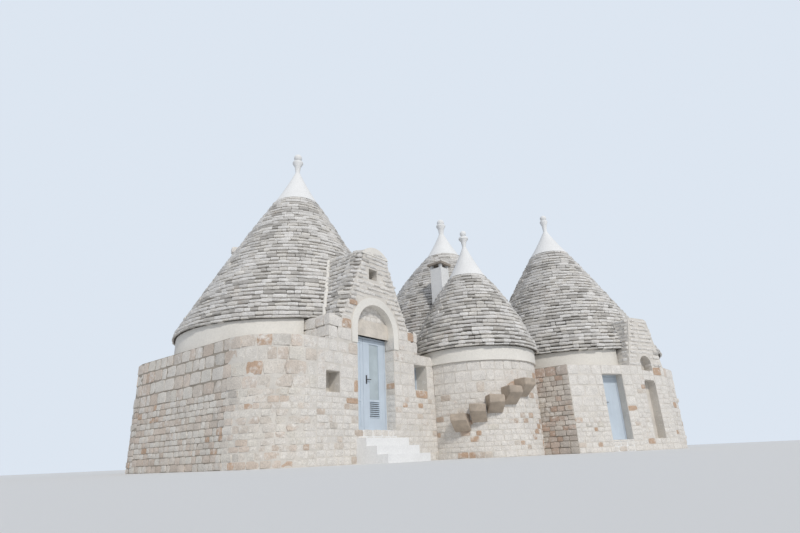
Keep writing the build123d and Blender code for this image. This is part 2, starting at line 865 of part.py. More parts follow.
with BuildPart() as right_floor:
    with BuildSketch(Plane.XY.offset(right_floor_z - right_floor_thickness)):
        with Locations(right_centre):
            Circle(right_room_radius)
    extrude(amount=right_floor_thickness)
save(right_floor.part, "right_floor")

right_dormer_whole = tapered_front(
    porch_front_plane,
    porch_width / 2,
    right_dormer_top_half_width,
    right_wall_top,
    right_dormer_top_z,
    right_dormer_crest_radius,
    0,
    right_dormer_reach,
)
with BuildPart() as right_dormer:
    add(right_dormer_whole)
    add(right_envelope, mode=Mode.SUBTRACT)
    add(upper_recess_hole, mode=Mode.SUBTRACT)
save(right_dormer.part, "right_dormer")

save(
    ring(
        right_centre,
        right_drum_radius,
        right_room_radius,
        right_wall_top,
        right_roof_form["eaves_z"],
    ),
    "right_drum_band",
)
save(cone_roof(right_roof_form, right_centre, right_room_radius, cuts=(small_envelope,)), "right_roof")
save(pinnacle(right_roof_form, right_tip, right_centre), "right_pinnacle")

# Door of the right house
right_leaf_front = right_leaf_setback
right_leaf_back = right_leaf_front + leaf_thickness
right_leaf_bottom_z = right_floor_z + leaf_gap
right_leaf_top_z = right_door_top_z - frame_width - leaf_gap
right_hinge_x = right_door_end - frame_width - leaf_gap / 2
right_hinge_y = right_leaf_back + knuckle_radius
right_hinge_heights = (right_leaf_bottom_z + hinge_rise, right_leaf_top_z - hinge_rise)
right_inner_left = right_door_start + frame_width + leaf_gap
right_inner_right = right_door_end - frame_width - leaf_gap
with BuildPart() as right_door_frame:
    add(
        block(
            (right_door_start, right_door_end),
            (right_leaf_front, right_leaf_back),
            (right_floor_z, right_door_top_z),
            plane=door_wall_plane,
        )
    )
    add(
        block(
            (right_door_start + frame_width, right_door_end - frame_width),
            (right_leaf_front - 10, right_leaf_back + 10),
            (right_floor_z - 10, right_door_top_z - frame_width),
            plane=door_wall_plane,
        ),
        mode=Mode.SUBTRACT,
    )
    for bottom in right_hinge_heights:
        add(hinge_pin(door_wall_plane, right_hinge_x, right_hinge_y, 1, bottom))
save(right_door_frame.part, "right_door_frame")
with BuildPart() as right_door_leaf:
    add(
        block(
            (right_inner_left, right_inner_right),
            (right_leaf_front, right_leaf_back),
            (right_leaf_bottom_z, right_leaf_top_z),
            plane=door_wall_plane,
        )
    )
    for bottom in right_hinge_heights:
        add(hinge_knuckle(door_wall_plane, right_hinge_x, right_hinge_y, 1, bottom))
save(right_door_leaf.part, "right_door_leaf")
right_handle_place = (
    door_wall_plane.origin
    + door_wall_plane.x_dir * (right_inner_left + right_handle_set_in)
    + door_wall_plane.y_dir * right_leaf_front
)
right_handle_plane = Plane(
    origin=(right_handle_place.X, right_handle_place.Y, right_floor_z + right_handle_rise),
    x_dir=door_wall_plane.x_dir,
    z_dir=-door_wall_plane.y_dir,
)
save(lever_handle(right_handle_plane), "right_door_handle")

# Back house
back_segments = dict(
    back_left_wall=(115, 262),
    back_rear_wall=(25, 115),
    back_right_wall=(-98, 25),
)
for name, (start, end) in back_segments.items():
    wall = wall_segment(
        back_plan.sketch, back_centre, start, end, back_wall_top, cuts=(right_envelope, small_envelope)
    )
    save(wall, name)
back_band_radius = back_roof_form["eaves_r"] - drum_band_setback
chimney_corner = (chimney_centre[0] - chimney_side / 2, chimney_centre[1] - chimney_side / 2)
chimney_column = block(
    (chimney_corner[0], chimney_corner[0] + chimney_side),
    (chimney_corner[1], chimney_corner[1] + chimney_side),
    (back_wall_top, chimney_top_z),
)
save(
    ring(
        back_centre,
        back_band_radius,
        back_room_radius,
        back_wall_top,
        back_roof_form["eaves_z"],
        cuts=(right_envelope, small_envelope, chimney_column),
    ),
    "back_drum_band",
)
save(
    cone_roof(
        back_roof_form, back_centre, back_room_radius, cuts=(right_envelope, small_envelope, chimney_column)
    ),
    "back_roof",
)
save(pinnacle(back_roof_form, back_tip, back_centre), "back_pinnacle")

# Chimney: a square shaft, four short pillars and a stone lid
with BuildPart() as chimney_shaft:
    add(chimney_column)
    with BuildSketch(Plane.XY.offset(chimney_top_z)):
        with Locations(chimney_centre):
            Rectangle(chimney_flue, chimney_flue)
    extrude(amount=-(chimney_top_z - back_wall_top) / 2, mode=Mode.SUBTRACT)
    with BuildSketch(Plane.XY.offset(chimney_top_z)):
        with Locations(chimney_centre):
            with GridLocations(chimney_side - chimney_pillar, chimney_side - chimney_pillar, 2, 2):
                Rectangle(chimney_pillar, chimney_pillar)
    extrude(amount=chimney_pillar_height)
save(chimney_shaft.part, "chimney_shaft")

with BuildPart() as chimney_lid_slab:
    with BuildSketch(Plane.XY.offset(chimney_top_z + chimney_pillar_height)):
        with Locations(chimney_centre):
            Rectangle(chimney_lid, chimney_lid)
    extrude(amount=chimney_lid_thickness)
save(chimney_lid_slab.part, "chimney_lid")
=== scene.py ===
import json
import math
import random
from collections import namedtuple

import bmesh
import bpy
from mathutils import Matrix, Vector

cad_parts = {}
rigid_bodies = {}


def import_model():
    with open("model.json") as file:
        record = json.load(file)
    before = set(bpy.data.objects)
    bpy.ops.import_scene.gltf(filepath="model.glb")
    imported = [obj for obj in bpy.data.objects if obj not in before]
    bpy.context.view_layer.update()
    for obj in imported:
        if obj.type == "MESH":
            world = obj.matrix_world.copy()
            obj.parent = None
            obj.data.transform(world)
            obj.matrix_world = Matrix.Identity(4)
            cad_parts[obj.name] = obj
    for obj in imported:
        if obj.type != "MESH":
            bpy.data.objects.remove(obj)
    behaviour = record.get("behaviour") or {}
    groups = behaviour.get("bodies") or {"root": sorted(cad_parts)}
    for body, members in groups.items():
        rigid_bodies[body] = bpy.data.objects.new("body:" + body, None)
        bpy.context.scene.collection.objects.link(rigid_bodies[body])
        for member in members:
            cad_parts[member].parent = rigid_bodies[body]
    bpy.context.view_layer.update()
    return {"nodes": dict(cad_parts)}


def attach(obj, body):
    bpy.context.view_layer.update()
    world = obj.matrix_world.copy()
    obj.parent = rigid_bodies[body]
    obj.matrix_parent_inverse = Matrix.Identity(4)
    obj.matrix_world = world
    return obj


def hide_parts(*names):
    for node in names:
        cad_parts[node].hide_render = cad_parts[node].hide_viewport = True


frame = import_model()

nodes = frame["nodes"]


# Limewashed limestone.
# The stones of the walls came from the fields around: warm grey limestone, some of it
# stained red by iron, laid in lime mortar or dry and limewashed where they lie.
class Value:
    """A number that varies over a surface, worked with ordinary arithmetic."""

    def __init__(self, tree, socket):
        self.tree = tree
        self.socket = socket

    def maths(self, operation, *others, clamp=False):
        node = self.tree.nodes.new("ShaderNodeMath")
        node.operation = operation
        node.use_clamp = clamp
        for place, other in zip(node.inputs, (self, *others)):
            if isinstance(other, Value):
                self.tree.links.new(other.socket, place)
            else:
                place.default_value = other
        return Value(self.tree, node.outputs[0])

    def __add__(self, other):
        return self.maths("ADD", other)

    def __sub__(self, other):
        return self.maths("SUBTRACT", other)

    def __mul__(self, other):
        return self.maths("MULTIPLY", other)

    def __rsub__(self, other):
        return (self * -1.0) + other

    __radd__ = __add__
    __rmul__ = __mul__

    def limited(self):
        """The number held between nought and one."""
        return self.maths("ADD", 0.0, clamp=True)


class Nodes:
    """An empty node tree with one method that makes any node."""

    def __init__(self, tree):
        self.tree = tree
        self.tree.nodes.clear()

    def node(self, kind, settings=None, inputs=None, output=0):
        node = self.tree.nodes.new(kind)
        for key, value in (settings or {}).items():
            if key == "stops":
                ramp = node.color_ramp
                while len(ramp.elements) < len(value):
                    ramp.elements.new(0.5)
                for element, (position, colour) in zip(ramp.elements, value):
                    element.position = position
                    element.color = (*colour, 1.0)
            else:
                setattr(node, key, value)
        for key, value in (inputs or {}).items():
            if isinstance(value, Value):
                self.tree.links.new(value.socket, node.inputs[key])
            else:
                node.inputs[key].default_value = value
        return Value(self.tree, node.outputs[output]) if node.outputs else None


class Finish(Nodes):
    """A material in the house's own coordinates, in metres."""

    def __init__(self, name):
        self.material = bpy.data.materials.new(name)
        self.material.use_nodes = True
        super().__init__(self.material.node_tree)

    def place(self):
        return self.node("ShaderNodeTexCoord", output=3)

    def noise(self, scale, detail=4.0, rough=0.55, where=None):
        where = where or self.place()
        inputs = {"Vector": where, "Scale": scale, "Detail": detail, "Roughness": rough}
        return self.node("ShaderNodeTexNoise", inputs=inputs)

    def ramp(self, value, *stops):
        grey = [(position, (level, level, level)) for position, level in stops]
        return self.node("ShaderNodeValToRGB", {"stops": grey}, {"Fac": value})

    def colours(self, value, *stops):
        return self.node("ShaderNodeValToRGB", {"stops": stops}, {"Fac": value})

    def mix(self, share, first, second, blend="MIX"):
        settings = {"data_type": "RGBA", "blend_type": blend}
        return self.node("ShaderNodeMix", settings, {0: share, 6: first, 7: second}, output=2)

    def shaded(self, colour, amount):
        """A colour darkened or lightened by a number round one."""
        return self.mix(1.0, colour, amount, "MULTIPLY")

    def bump(self, height, strength, distance):
        inputs = {"Height": height, "Strength": strength, "Distance": distance}
        return self.node("ShaderNodeBump", inputs=inputs)

    def close(self, **sockets):
        """Ends the material in the surface that the sockets describe."""
        names = {key: key.replace("_", " ").title() for key in sockets}
        inputs = {names[key]: value for key, value in sockets.items()}
        surface = self.node("ShaderNodeBsdfPrincipled", inputs=inputs)
        self.node("ShaderNodeOutputMaterial", inputs={"Surface": surface})
        return self.material


def rgb(red, green, blue):
    return (red, green, blue, 1.0)


rust_colour = rgb(0.55, 0.39, 0.27)
lime_colour = rgb(0.82, 0.785, 0.735)


def stone_finish(name, stops, rust, grain):
    """Limestone whose tone varies from stone to stone, with rust stains and limewash."""
    finish = Finish(name)
    tone = finish.node("ShaderNodeAttribute", {"attribute_name": "tone"}, output=2)
    wash = finish.node("ShaderNodeAttribute", {"attribute_name": "wash"}, output=2)
    blotch = finish.ramp(finish.noise(3.5, 5.0, 0.6), (0.3, 0.86), (0.7, 1.08))
    speckle = finish.ramp(finish.noise(38.0, 5.0, 0.7), (0.34, 0.78), (0.62, 1.08))
    body = finish.shaded(finish.shaded(finish.colours(tone, *stops), blotch), speckle)
    iron = finish.noise(1.1, 5.0, 0.6) * 0.6 + finish.noise(9.0, 4.0, 0.6) * 0.4
    stained = finish.mix(((iron - 0.56) * 6.0).limited() * rust, body, rust_colour)
    patches = finish.noise(1.6, 6.0, 0.62) * 0.45 + finish.noise(9.0, 5.0, 0.65) * 0.55
    coat = ((patches + wash * 0.42 - 0.63) * 8.0).limited() * 0.93
    clouds = finish.ramp(finish.noise(5.0, 5.0, 0.65), (0.3, 0.84), (0.7, 1.06))
    lime = finish.shaded(finish.shaded(lime_colour, clouds), speckle)
    relief = finish.noise(16.0, 6.0, 0.65) * 0.7 + finish.noise(70.0, 4.0, 0.6) * 0.3
    return finish.close(
        base_color=finish.mix(coat, stained, lime),
        roughness=finish.ramp(finish.noise(22.0), (0.3, 0.82), (0.7, 0.96)),
        normal=finish.bump(relief, grain, 0.02),
    )


wall_stone = stone_finish(
    "limewashed_limestone",
    (
        (0.0, (0.71, 0.67, 0.60)),
        (0.25, (0.77, 0.73, 0.67)),
        (0.5, (0.67, 0.61, 0.54)),
        (0.72, (0.70, 0.61, 0.53)),
        (0.86, (0.61, 0.52, 0.44)),
        (0.93, (0.62, 0.59, 0.54)),
        (0.965, (0.56, 0.40, 0.29)),
    ),
    rust=0.45,
    grain=0.5,
)


def plain_finish(name, colour, variation, scale, rough=0.9, relief=0.25):
    """One coat of plaster, mortar or dressed stone, with its clouds and grain."""
    finish = Finish(name)
    dark, pale = 1.0 - variation, 1.0 + variation * 0.4
    clouds = finish.ramp(finish.noise(scale, 6.0, 0.6), (0.28, dark), (0.72, pale))
    grain = finish.noise(scale * 22.0, 4.0, 0.6)
    shade = finish.ramp(grain, (0.3, 0.93), (0.7, 1.03))
    return finish.close(
        base_color=finish.shaded(finish.shaded(rgb(*colour), clouds), shade),
        roughness=rough,
        normal=finish.bump(grain + finish.noise(scale * 3.0) * 1.5, relief, 0.012),
    )


pale_mortar = plain_finish("pale_lime_mortar", (0.74, 0.70, 0.64), 0.16, 2.4, relief=0.6)
dry_joint = plain_finish("earthy_dry_joint", (0.42, 0.37, 0.31), 0.30, 3.0, relief=0.6)


def repaint(material, *names):
    """Gives CAD nodes their finish."""
    for name in names:
        node = nodes[name]
        for place in node.material_slots:
            place.material = material


# Stones as they are laid.
# A mason picks each stone from the heap: six worn blocks stand for each heap, and each
# stone on a wall or roof is one of them, stretched to the place that it fills.
def mesh_of(name, points, faces):
    mesh = bpy.data.meshes.new(name)
    mesh.from_pydata(points, [], faces)
    mesh.update()
    return mesh


def band(first, sides):
    """Faces between the ring of points that starts at first and the ring after it."""
    pairs = [(first + side, first + (side + 1) % sides) for side in range(sides)]
    return [(here, after, after + sides, here + sides) for here, after in pairs]


def worn_block(name, seed, wear, end_chamfer, bed_chamfer):
    """A unit block with worn edges, open at the back where the mortar holds it."""
    chance = random.Random(seed)
    half, crown, off_centre = 0.5, 0.05, 0.1
    belly, blunt = 0.04, -0.05
    shoulder, side_wear = 0.15, 0.6
    rings = (
        (0.0, 0.0, half),
        (end_chamfer * shoulder, bed_chamfer * shoulder, -half / 2),
        (end_chamfer, bed_chamfer, -half),
    )
    corners = ((-1, -1), (0, -1), (1, -1), (1, 0), (1, 1), (0, 1), (-1, 1), (-1, 0))
    sides = len(corners)
    points = []
    for number, (end_cut, bed_cut, depth) in enumerate(rings):
        for across, up in corners:
            swell = 1.0 + (belly if across == 0 or up == 0 else blunt) * (number > 0)
            points.append(
                (
                    across * (half - end_cut) * swell + chance.uniform(-wear, wear) * side_wear,
                    depth + chance.uniform(-wear, wear) * side_wear * (number > 0),
                    up * (half - bed_cut) * swell + chance.uniform(-wear, wear),
                )
            )
    aside, above = chance.uniform(-off_centre, off_centre), chance.uniform(-off_centre, off_centre)
    last_ring, face_centre = len(points) - sides, len(points)
    points.append((aside, -half - crown, above))
    faces = []
    for first in range(0, last_ring, sides):
        faces += band(first, sides)
    for side in range(sides):
        faces.append((last_ring + side, last_ring + (side + 1) % sides, face_centre))
    return bpy.data.objects.new(name, mesh_of(name, points, faces))


heap_size = 6


def heap(name, first_seed, wear, end_chamfer, bed_chamfer):
    """Worn blocks to pick from while laying."""
    pile = bpy.data.collections.new(name)
    for number in range(heap_size):
        block = worn_block(f"{name}_{number}", first_seed + number, wear, end_chamfer, bed_chamfer)
        pile.objects.link(block)
    bpy.context.scene.collection.children.link(pile)
    return pile


blocks = heap("block_heap", 40, 0.035, 0.05, 0.06)


class Tree(Nodes):
    """A Geometry Nodes tree that changes a mesh, with named inputs of given kinds."""

    def __init__(self, name, **kinds):
        super().__init__(bpy.data.node_groups.new(name, "GeometryNodeTree"))
        sockets = self.tree.interface
        sockets.new_socket("Geometry", in_out="INPUT", socket_type="NodeSocketGeometry")
        sockets.new_socket("Geometry", in_out="OUTPUT", socket_type="NodeSocketGeometry")
        for label, kind in kinds.items():
            sockets.new_socket(label, in_out="INPUT", socket_type="NodeSocket" + kind)

    def given(self, label):
        return self.node("NodeGroupInput", output=label)

    def close(self, geometry):
        self.node("NodeGroupOutput", inputs={"Geometry": geometry})
        return self.tree


def laying_tree():
    """Sets a stone from the heap on each point, turned and stretched by its attributes."""
    tree = Tree("laid_stones", Heap="Collection", Finish="Material", Seed="Int")
    separate = {"Collection": tree.given("Heap"), "Separate Children": True, "Reset Children": True}
    stones = tree.node("GeometryNodeCollectionInfo", inputs=separate)
    turn, size = (
        tree.node("GeometryNodeInputNamedAttribute", {"data_type": "FLOAT_VECTOR"}, {"Name": label})
        for label in ("turn", "size")
    )
    numbers = {"Min": 0, "Max": heap_size - 1, "Seed": tree.given("Seed")}
    choice = tree.node("FunctionNodeRandomValue", {"data_type": "INT"}, numbers, output=2)
    laid = tree.node(
        "GeometryNodeInstanceOnPoints",
        inputs={
            "Points": tree.given("Geometry"),
            "Instance": stones,
            "Pick Instance": True,
            "Instance Index": choice,
            "Rotation": turn,
            "Scale": size,
        },
    )
    real = tree.node("GeometryNodeRealizeInstances", inputs={"Geometry": laid})
    finished = {"Geometry": real, "Material": tree.given("Finish")}
    return tree.close(tree.node("GeometryNodeSetMaterial", inputs=finished))


laid_stones = laying_tree()


def placed(name, mesh, node=None):
    """Makes a mesh a piece of the house, in a node's place if one is named."""
    mesh.name = name
    piece = bpy.data.objects.new(name, mesh)
    bpy.context.scene.collection.objects.link(piece)
    if node:
        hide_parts(node)
    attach(piece, "house")


def settled(carrier):
    """The finished mesh of an object that is there only to make it."""
    bpy.context.scene.collection.objects.link(carrier)
    evaluated = carrier.evaluated_get(bpy.context.evaluated_depsgraph_get())
    mesh = bpy.data.meshes.new_from_object(evaluated)
    bpy.data.objects.remove(carrier)
    return mesh


def grown(start, group, **values):
    """Runs a tree on a start mesh and gives the result as a plain mesh."""
    carrier = bpy.data.objects.new("start", start)
    modifier = carrier.modifiers.new("tree", "NODES")
    modifier.node_group = group
    for item in group.interface.items_tree:
        if item.in_out == "INPUT" and item.name in values:
            modifier[item.identifier] = values[item.name]
    return settled(carrier)


def lay(name, stones, seed, finish=wall_stone, pile=blocks):
    """Lays a list of stones (place, turn, size, tone, wash) as one piece of the house."""
    places, turns, sizes, tones, washes = zip(*stones)
    start = mesh_of(name + "_beds", places, [])
    for label, triples in (("turn", turns), ("size", sizes)):
        attribute = start.attributes.new(label, "FLOAT_VECTOR", "POINT")
        attribute.data.foreach_set("vector", [part for triple in triples for part in triple])
    for label, numbers in (("tone", tones), ("wash", washes)):
        start.attributes.new(label, "FLOAT", "POINT").data.foreach_set("value", numbers)
    placed(name, grown(start, laid_stones, Heap=pile, Finish=finish, Seed=seed))


# Rampart.
# The main house stands in a thick rubble wall with rounded corners, squared and larger in
# its top courses, limewashed in front. Each wall is a line that the courses follow.
def arc(centre, radius, start, end, parts):
    points = []
    for number in range(parts + 1):
        angle = math.radians(start + (end - start) * number / parts)
        points.append((centre[0] + radius * math.cos(angle), centre[1] + radius * math.sin(angle)))
    return points


def walk(path):
    """Lengths along a line, for finding the place and heading at any distance."""
    reached = [0.0]
    for first, second in zip(path, path[1:]):
        reached.append(reached[-1] + math.dist(first, second))
    return reached


def at(path, reached, distance):
    distance = min(max(distance, 0.0), reached[-1])
    for number in range(len(path) - 1):
        if distance <= reached[number + 1] or number == len(path) - 2:
            step = reached[number + 1] - reached[number]
            share = (distance - reached[number]) / step
            first, second = path[number], path[number + 1]
            place = (first[0] + (second[0] - first[0]) * share, first[1] + (second[1] - first[1]) * share)
            return place, math.atan2(second[1] - first[1], second[0] - first[0])


def free_spans(start, end, low, high, holes):
    """The stretches of a course that no opening cuts, with their lower and upper edges."""
    touch, sliver = 0.01, 0.03
    cuts = [hole for hole in holes if hole[2] < high - touch and hole[3] > low + touch]
    spans = []
    here = start
    for left, right, bottom, top in sorted(cuts):
        if left > here:
            spans.append((here, left, low, high))
        if bottom > low + sliver:
            spans.append((max(left, start), min(right, end), low, bottom))
        if top < high - sliver:
            spans.append((max(left, start), min(right, end), top, high))
        here = max(here, right)
    if here < end:
        spans.append((here, end, low, high))
    return spans


def courses(bottom, top, crown, chance):
    """Heights of a wall's courses: small rubble below, a crown of squared blocks on top."""
    rubble, block = 0.135, 0.27
    edges = [top]
    for _ in range(crown):
        edges.append(edges[-1] - block * chance.uniform(0.9, 1.1))
    rest = edges[-1] - bottom
    count = round(rest / rubble)
    weights = [chance.uniform(0.8, 1.2) for _ in range(count)]
    for weight in weights:
        edges.append(edges[-1] - rest * weight / sum(weights))
    return edges[::-1]


def wall_stones(path, top, seed, wash, holes=(), crown=4, relief=0.012, orange=0.04, bottom=0.0):
    """Courses of stones along one stretch of wall; wash gives the limewash at a place."""
    chance = random.Random(seed)
    reached = walk(path)
    depth, shortest, crown_height = 0.16, 0.12, 0.2
    squared, longish = (0.7, 1.6), (1.0, 2.2)
    stones = []
    levels = courses(bottom, top, crown, chance)
    for low, high in zip(levels, levels[1:]):
        for start, end, under, over in free_spans(0.0, reached[-1], low, high, holes):
            here = start
            while here < end - 0.02:
                length = (high - low) * chance.uniform(*(squared if high - low > crown_height else longish))
                if end - (here + length) < shortest:
                    length = end - here
                place, heading = at(path, reached, here + length / 2)
                out = chance.uniform(0.1, 1.0) * relief - depth / 2
                rusty = chance.random() < orange
                bare = rusty or chance.random() < 0.10
                lift = chance.uniform(-0.006, 0.006)
                lean, tip, skew = (chance.uniform(-most, most) for most in (0.03, 0.015, 0.02))
                stones.append(
                    (
                        (
                            place[0] + math.sin(heading) * out,
                            place[1] - math.cos(heading) * out,
                            (under + over) / 2 + lift,
                        ),
                        (lean, tip, heading + skew),
                        (length * 0.99, depth, (over - under) * 0.98),
                        0.94 + chance.random() * 0.06 if rusty else chance.random() * 0.93,
                        0.3 if bare else wash(place) + chance.uniform(-0.15, 0.15),
                    )
                )
                here += length
    return stones


hardly, fully = 0.2, 0.78


def unwashed(place):
    """Walls that the limewash hardly reached."""
    return hardly


def washed(place):
    """Fronts that are limewashed all over."""
    return fully


def corner_wash(place):
    """Limewash that fades round the rampart's left corner."""
    return min(max((place[0] + 3.6) / 2.6, hardly), fully)


rampart_left, rampart_right = -3.30, 3.34
rampart_front, rampart_back = -3.34, 3.00
corner = 1.30
wall_top = 2.60
door_left, door_right, door_foot, door_top = -0.78, 0.50, 0.70, 2.88
left_corner_x = rampart_left + corner
front_end_x = 2.129

red_tone, red_wash = 0.97, 0.3


def reddened(stones, places):
    """The stones with the one nearest to each place swapped for one of the red field stones."""
    stones = list(stones)
    for spot in places:
        nearest = min(range(len(stones)), key=lambda number: math.dist(stones[number][0], spot))
        stones[nearest] = (*stones[nearest][:3], red_tone, red_wash)
    return stones


back_line = [(rampart_right, -2.076), (rampart_right, rampart_back), (left_corner_x, rampart_back)]
back_line += arc((left_corner_x, rampart_back - corner), corner, 90, 180, 8)[1:]
left_line = [(rampart_left, rampart_back - corner), (rampart_left, rampart_front + corner)]
left_line += arc((left_corner_x, rampart_front + corner), corner, 180, 270, 8)[1:]
front_line = [(left_corner_x, rampart_front), (front_end_x, rampart_front)]


def front_hole(left, right, bottom, top):
    """An opening in the main front, measured along its line."""
    return (left - left_corner_x, right - left_corner_x, bottom, top)


niche = (-1.745, -1.345, 1.465, 1.915)
side_window = (1.30, 1.82, 1.70, 2.34)
doorway = (door_left, door_right, door_foot, door_top)
front_holes = [front_hole(*niche), front_hole(*side_window), front_hole(*doorway)]

lay("rampart_left_stones", wall_stones(left_line, wall_top, 11, corner_wash), 2)
lay("rampart_back_stones", wall_stones(back_line, wall_top, 12, unwashed), 3)
main_front = wall_stones(front_line, wall_top, 13, corner_wash, front_holes, relief=0.009, orange=0.03)
red_stones = ((1.49, 1.58), (0.92, 1.25), (1.48, 1.27), (1.63, 1.66), (-0.97, 1.76), (-0.84, 1.30))
main_front = reddened(main_front, [(x, rampart_front, z) for x, z in red_stones])
lay("main_front_stones", main_front, 4)
repaint(dry_joint, "main_left_wall", "main_back_wall", "main_right_wall")
repaint(pale_mortar, "main_front_left_wall", "main_front_right_wall")

# Small drum.
# The small house is one round room, its drum built against the rampart in smaller rubble
# with many red stones, under a thin limewash. Its rear shows only in the alley.
small_centre, small_drum, small_top = (3.745, -3.675), 1.65, 2.38
small_line = arc(small_centre, small_drum, 168.3, 301.2, 26)
small_front = wall_stones(small_line, small_top, 14, washed, crown=3, relief=0.010, orange=0.12)
lay("small_drum_stones", small_front, 5)
alley_line = arc(small_centre, small_drum, 54.6, 104.2, 9)
lay("small_drum_rear_stones", wall_stones(alley_line, small_top, 15, unwashed), 6)
repaint(pale_mortar, "small_drum_front", "small_drum_right", "small_drum_back")

# Right house.
# A round room behind a straight door wall, a slanting porch wall with a recess and a
# short wing, all limewashed. The side beside the door stays bare brown limestone.
brown_stone = stone_finish(
    "weathered_brown_limestone",
    (
        (0.0, (0.60, 0.55, 0.49)),
        (0.3, (0.70, 0.64, 0.57)),
        (0.6, (0.53, 0.48, 0.43)),
        (0.85, (0.62, 0.52, 0.45)),
        (0.965, (0.53, 0.40, 0.32)),
    ),
    rust=0.8,
    grain=0.7,
)
right_centre, right_drum, right_top = (8.330, -4.530), 2.80, 2.30
right_corner = (4.60, -6.06)
porch_left, porch_right = (6.40, -7.18), (7.85, -7.71)
wing_end, wing_return = (8.74, -7.72), (9.45, -7.10)
shaded_line = [(4.60, -5.086), right_corner]
door_line = [right_corner, porch_left]
porch_line = [porch_left, porch_right]
wing_line = [porch_right, wing_end, wing_return]
right_door = (1.110, 1.790, 0.30, 2.05)
porch_width = math.dist(porch_left, porch_right)
recess_half = 0.25
recess_left, recess_right = porch_width / 2 - recess_half, porch_width / 2 + recess_half
recesses = [(recess_left, recess_right, 0.30, 1.90), (recess_left, recess_right, 2.19, 2.55)]
right_shaded = wall_stones(shaded_line, right_top, 16, unwashed, crown=1, relief=0.03, orange=0.2)
lay("right_shaded_stones", right_shaded, 7, brown_stone)
right_front = wall_stones(door_line, right_top, 17, washed, [right_door], relief=0.012, orange=0.03)
for seed, line, holes in ((18, porch_line, recesses), (19, wing_line, ())):
    right_front += wall_stones(line, right_top, seed, washed, holes, crown=2, relief=0.008, orange=0.02)
lay("right_front_stones", right_front, 8)
repaint(pale_mortar, "right_door_wall", "right_porch_wall", "right_side_wall", "right_door_head")
right_rear_line = arc(right_centre, right_drum, -66.45, 42.6, 24)
lay("right_rear_stones", wall_stones(right_rear_line, right_top, 20, unwashed), 9)
repaint(dry_joint, "right_back_wall", "right_left_wall")

# Back house.
# Only its cone and chimney show over the others, so its wall is plain dry rubble with
# rounded corners, higher than the rampart.
back_wall_top = 3.15
back_left, back_right, back_rear, back_front = 4.70, 10.90, 3.00, -2.90
back_corner_x = back_right - corner
back_house_line = arc((back_corner_x, back_front + corner), corner, -52, 0, 5)
back_house_line += arc((back_corner_x, back_rear - corner), corner, 0, 90, 8)
back_house_line += [(back_left, back_rear), (back_left, -2.33)]
lay("back_house_stones", wall_stones(back_house_line, back_wall_top, 21, unwashed), 10)
repaint(dry_joint, "back_left_wall", "back_rear_wall", "back_right_wall")

# Plaster under the eaves.
# A band of cream lime plaster closes the top of each drum below its cone, and a thicker
# coat covers it where it shows, rounded by hand.
cream_plaster = plain_finish("cream_lime_plaster", (0.84, 0.81, 0.75), 0.10, 1.1)
repaint(cream_plaster, "main_drum_band", "small_drum_band", "right_drum_band", "back_drum_band")


def outline_mesh(outlines, depth, placing):
    """A plate of one depth, cut by every outline after the first, put in its place."""
    curve = bpy.data.curves.new("plate_outline", "CURVE")
    curve.dimensions = "2D"
    curve.fill_mode = "BOTH"
    curve.extrude = depth / 2
    for outline in outlines:
        spline = curve.splines.new("POLY")
        spline.points.add(len(outline) - 1)
        for point, (across, up) in zip(spline.points, outline):
            point.co = (across, up, 0.0, 1.0)
        spline.use_cyclic_u = True
    mesh = settled(bpy.data.objects.new("plate_outline", curve))
    mesh.transform(placing)
    return mesh


def level_plate(outline, low, high):
    return outline_mesh([outline], high - low, Matrix.Translation((0, 0, (low + high) / 2)))


def plastered(name, mesh):
    """Lays a mesh on the house as plaster."""
    mesh.materials.append(cream_plaster)
    placed(name, mesh)


def drum_coat(name, centre, inner, outer, turns, low, high):
    """The thicker plaster under a cone's eaves, round a drum between two angles."""
    line = arc(centre, outer, *turns, 60) + arc(centre, inner - 0.01, *turns[::-1], 60)
    plastered(name, level_plate(line, low, high))


main_eaves, small_eaves, right_eaves = 3.20, 2.74, 2.83
drum_coat("main_drum_coat", (0, 0), 2.95, 3.06, (-58, 236), wall_top, main_eaves)
drum_coat("small_drum_coat", small_centre, 1.62, 1.71, (40, 399), small_top, small_eaves)
drum_coat("right_drum_coat", right_centre, 2.85, 2.94, (-85, 232), right_top, right_eaves)


# Roofs.
# Each cone is built of flat limestone slabs in level rings, every ring a little smaller
# than the one below, laid dry so that dark gaps show between the slabs; the bed behind
# them is painted near black as the shadow in those gaps.
def cone_radius(form, z):
    """The radius of the roof's outer line, an arc through three points, at a height."""
    (x1, y1), (x2, y2), (x3, y3) = form
    a = x1 * (y2 - y3) - y1 * (x2 - x3) + x2 * y3 - x3 * y2
    b = (x1 * x1 + y1 * y1) * (y3 - y2) + (x2 * x2 + y2 * y2) * (y1 - y3) + (x3 * x3 + y3 * y3) * (y2 - y1)
    c = (x1 * x1 + y1 * y1) * (x2 - x3) + (x2 * x2 + y2 * y2) * (x3 - x1) + (x3 * x3 + y3 * y3) * (x1 - x2)
    centre_x, centre_y = -b / (2 * a), -c / (2 * a)
    radius = math.dist((centre_x, centre_y), (x1, y1))
    across = math.sqrt(max(radius * radius - (z - centre_y) ** 2, 0.0))
    return centre_x + across if centre_x < x1 else centre_x - across


roof_stone = stone_finish(
    "weathered_roof_slabs",
    (
        (0.0, (0.73, 0.71, 0.68)),
        (0.35, (0.83, 0.81, 0.78)),
        (0.6, (0.64, 0.62, 0.59)),
        (0.8, (0.77, 0.74, 0.69)),
        (0.95, (0.48, 0.46, 0.43)),
    ),
    rust=0.25,
    grain=0.6,
)
slabs = heap("slab_heap", 60, 0.035, 0.02, 0.13)
course_rise, eaves_slab, slab_depth = 0.12, 0.07, 0.20


def lay_slabs(name, stones, seed):
    lay(name, stones, seed, roof_stone, slabs)


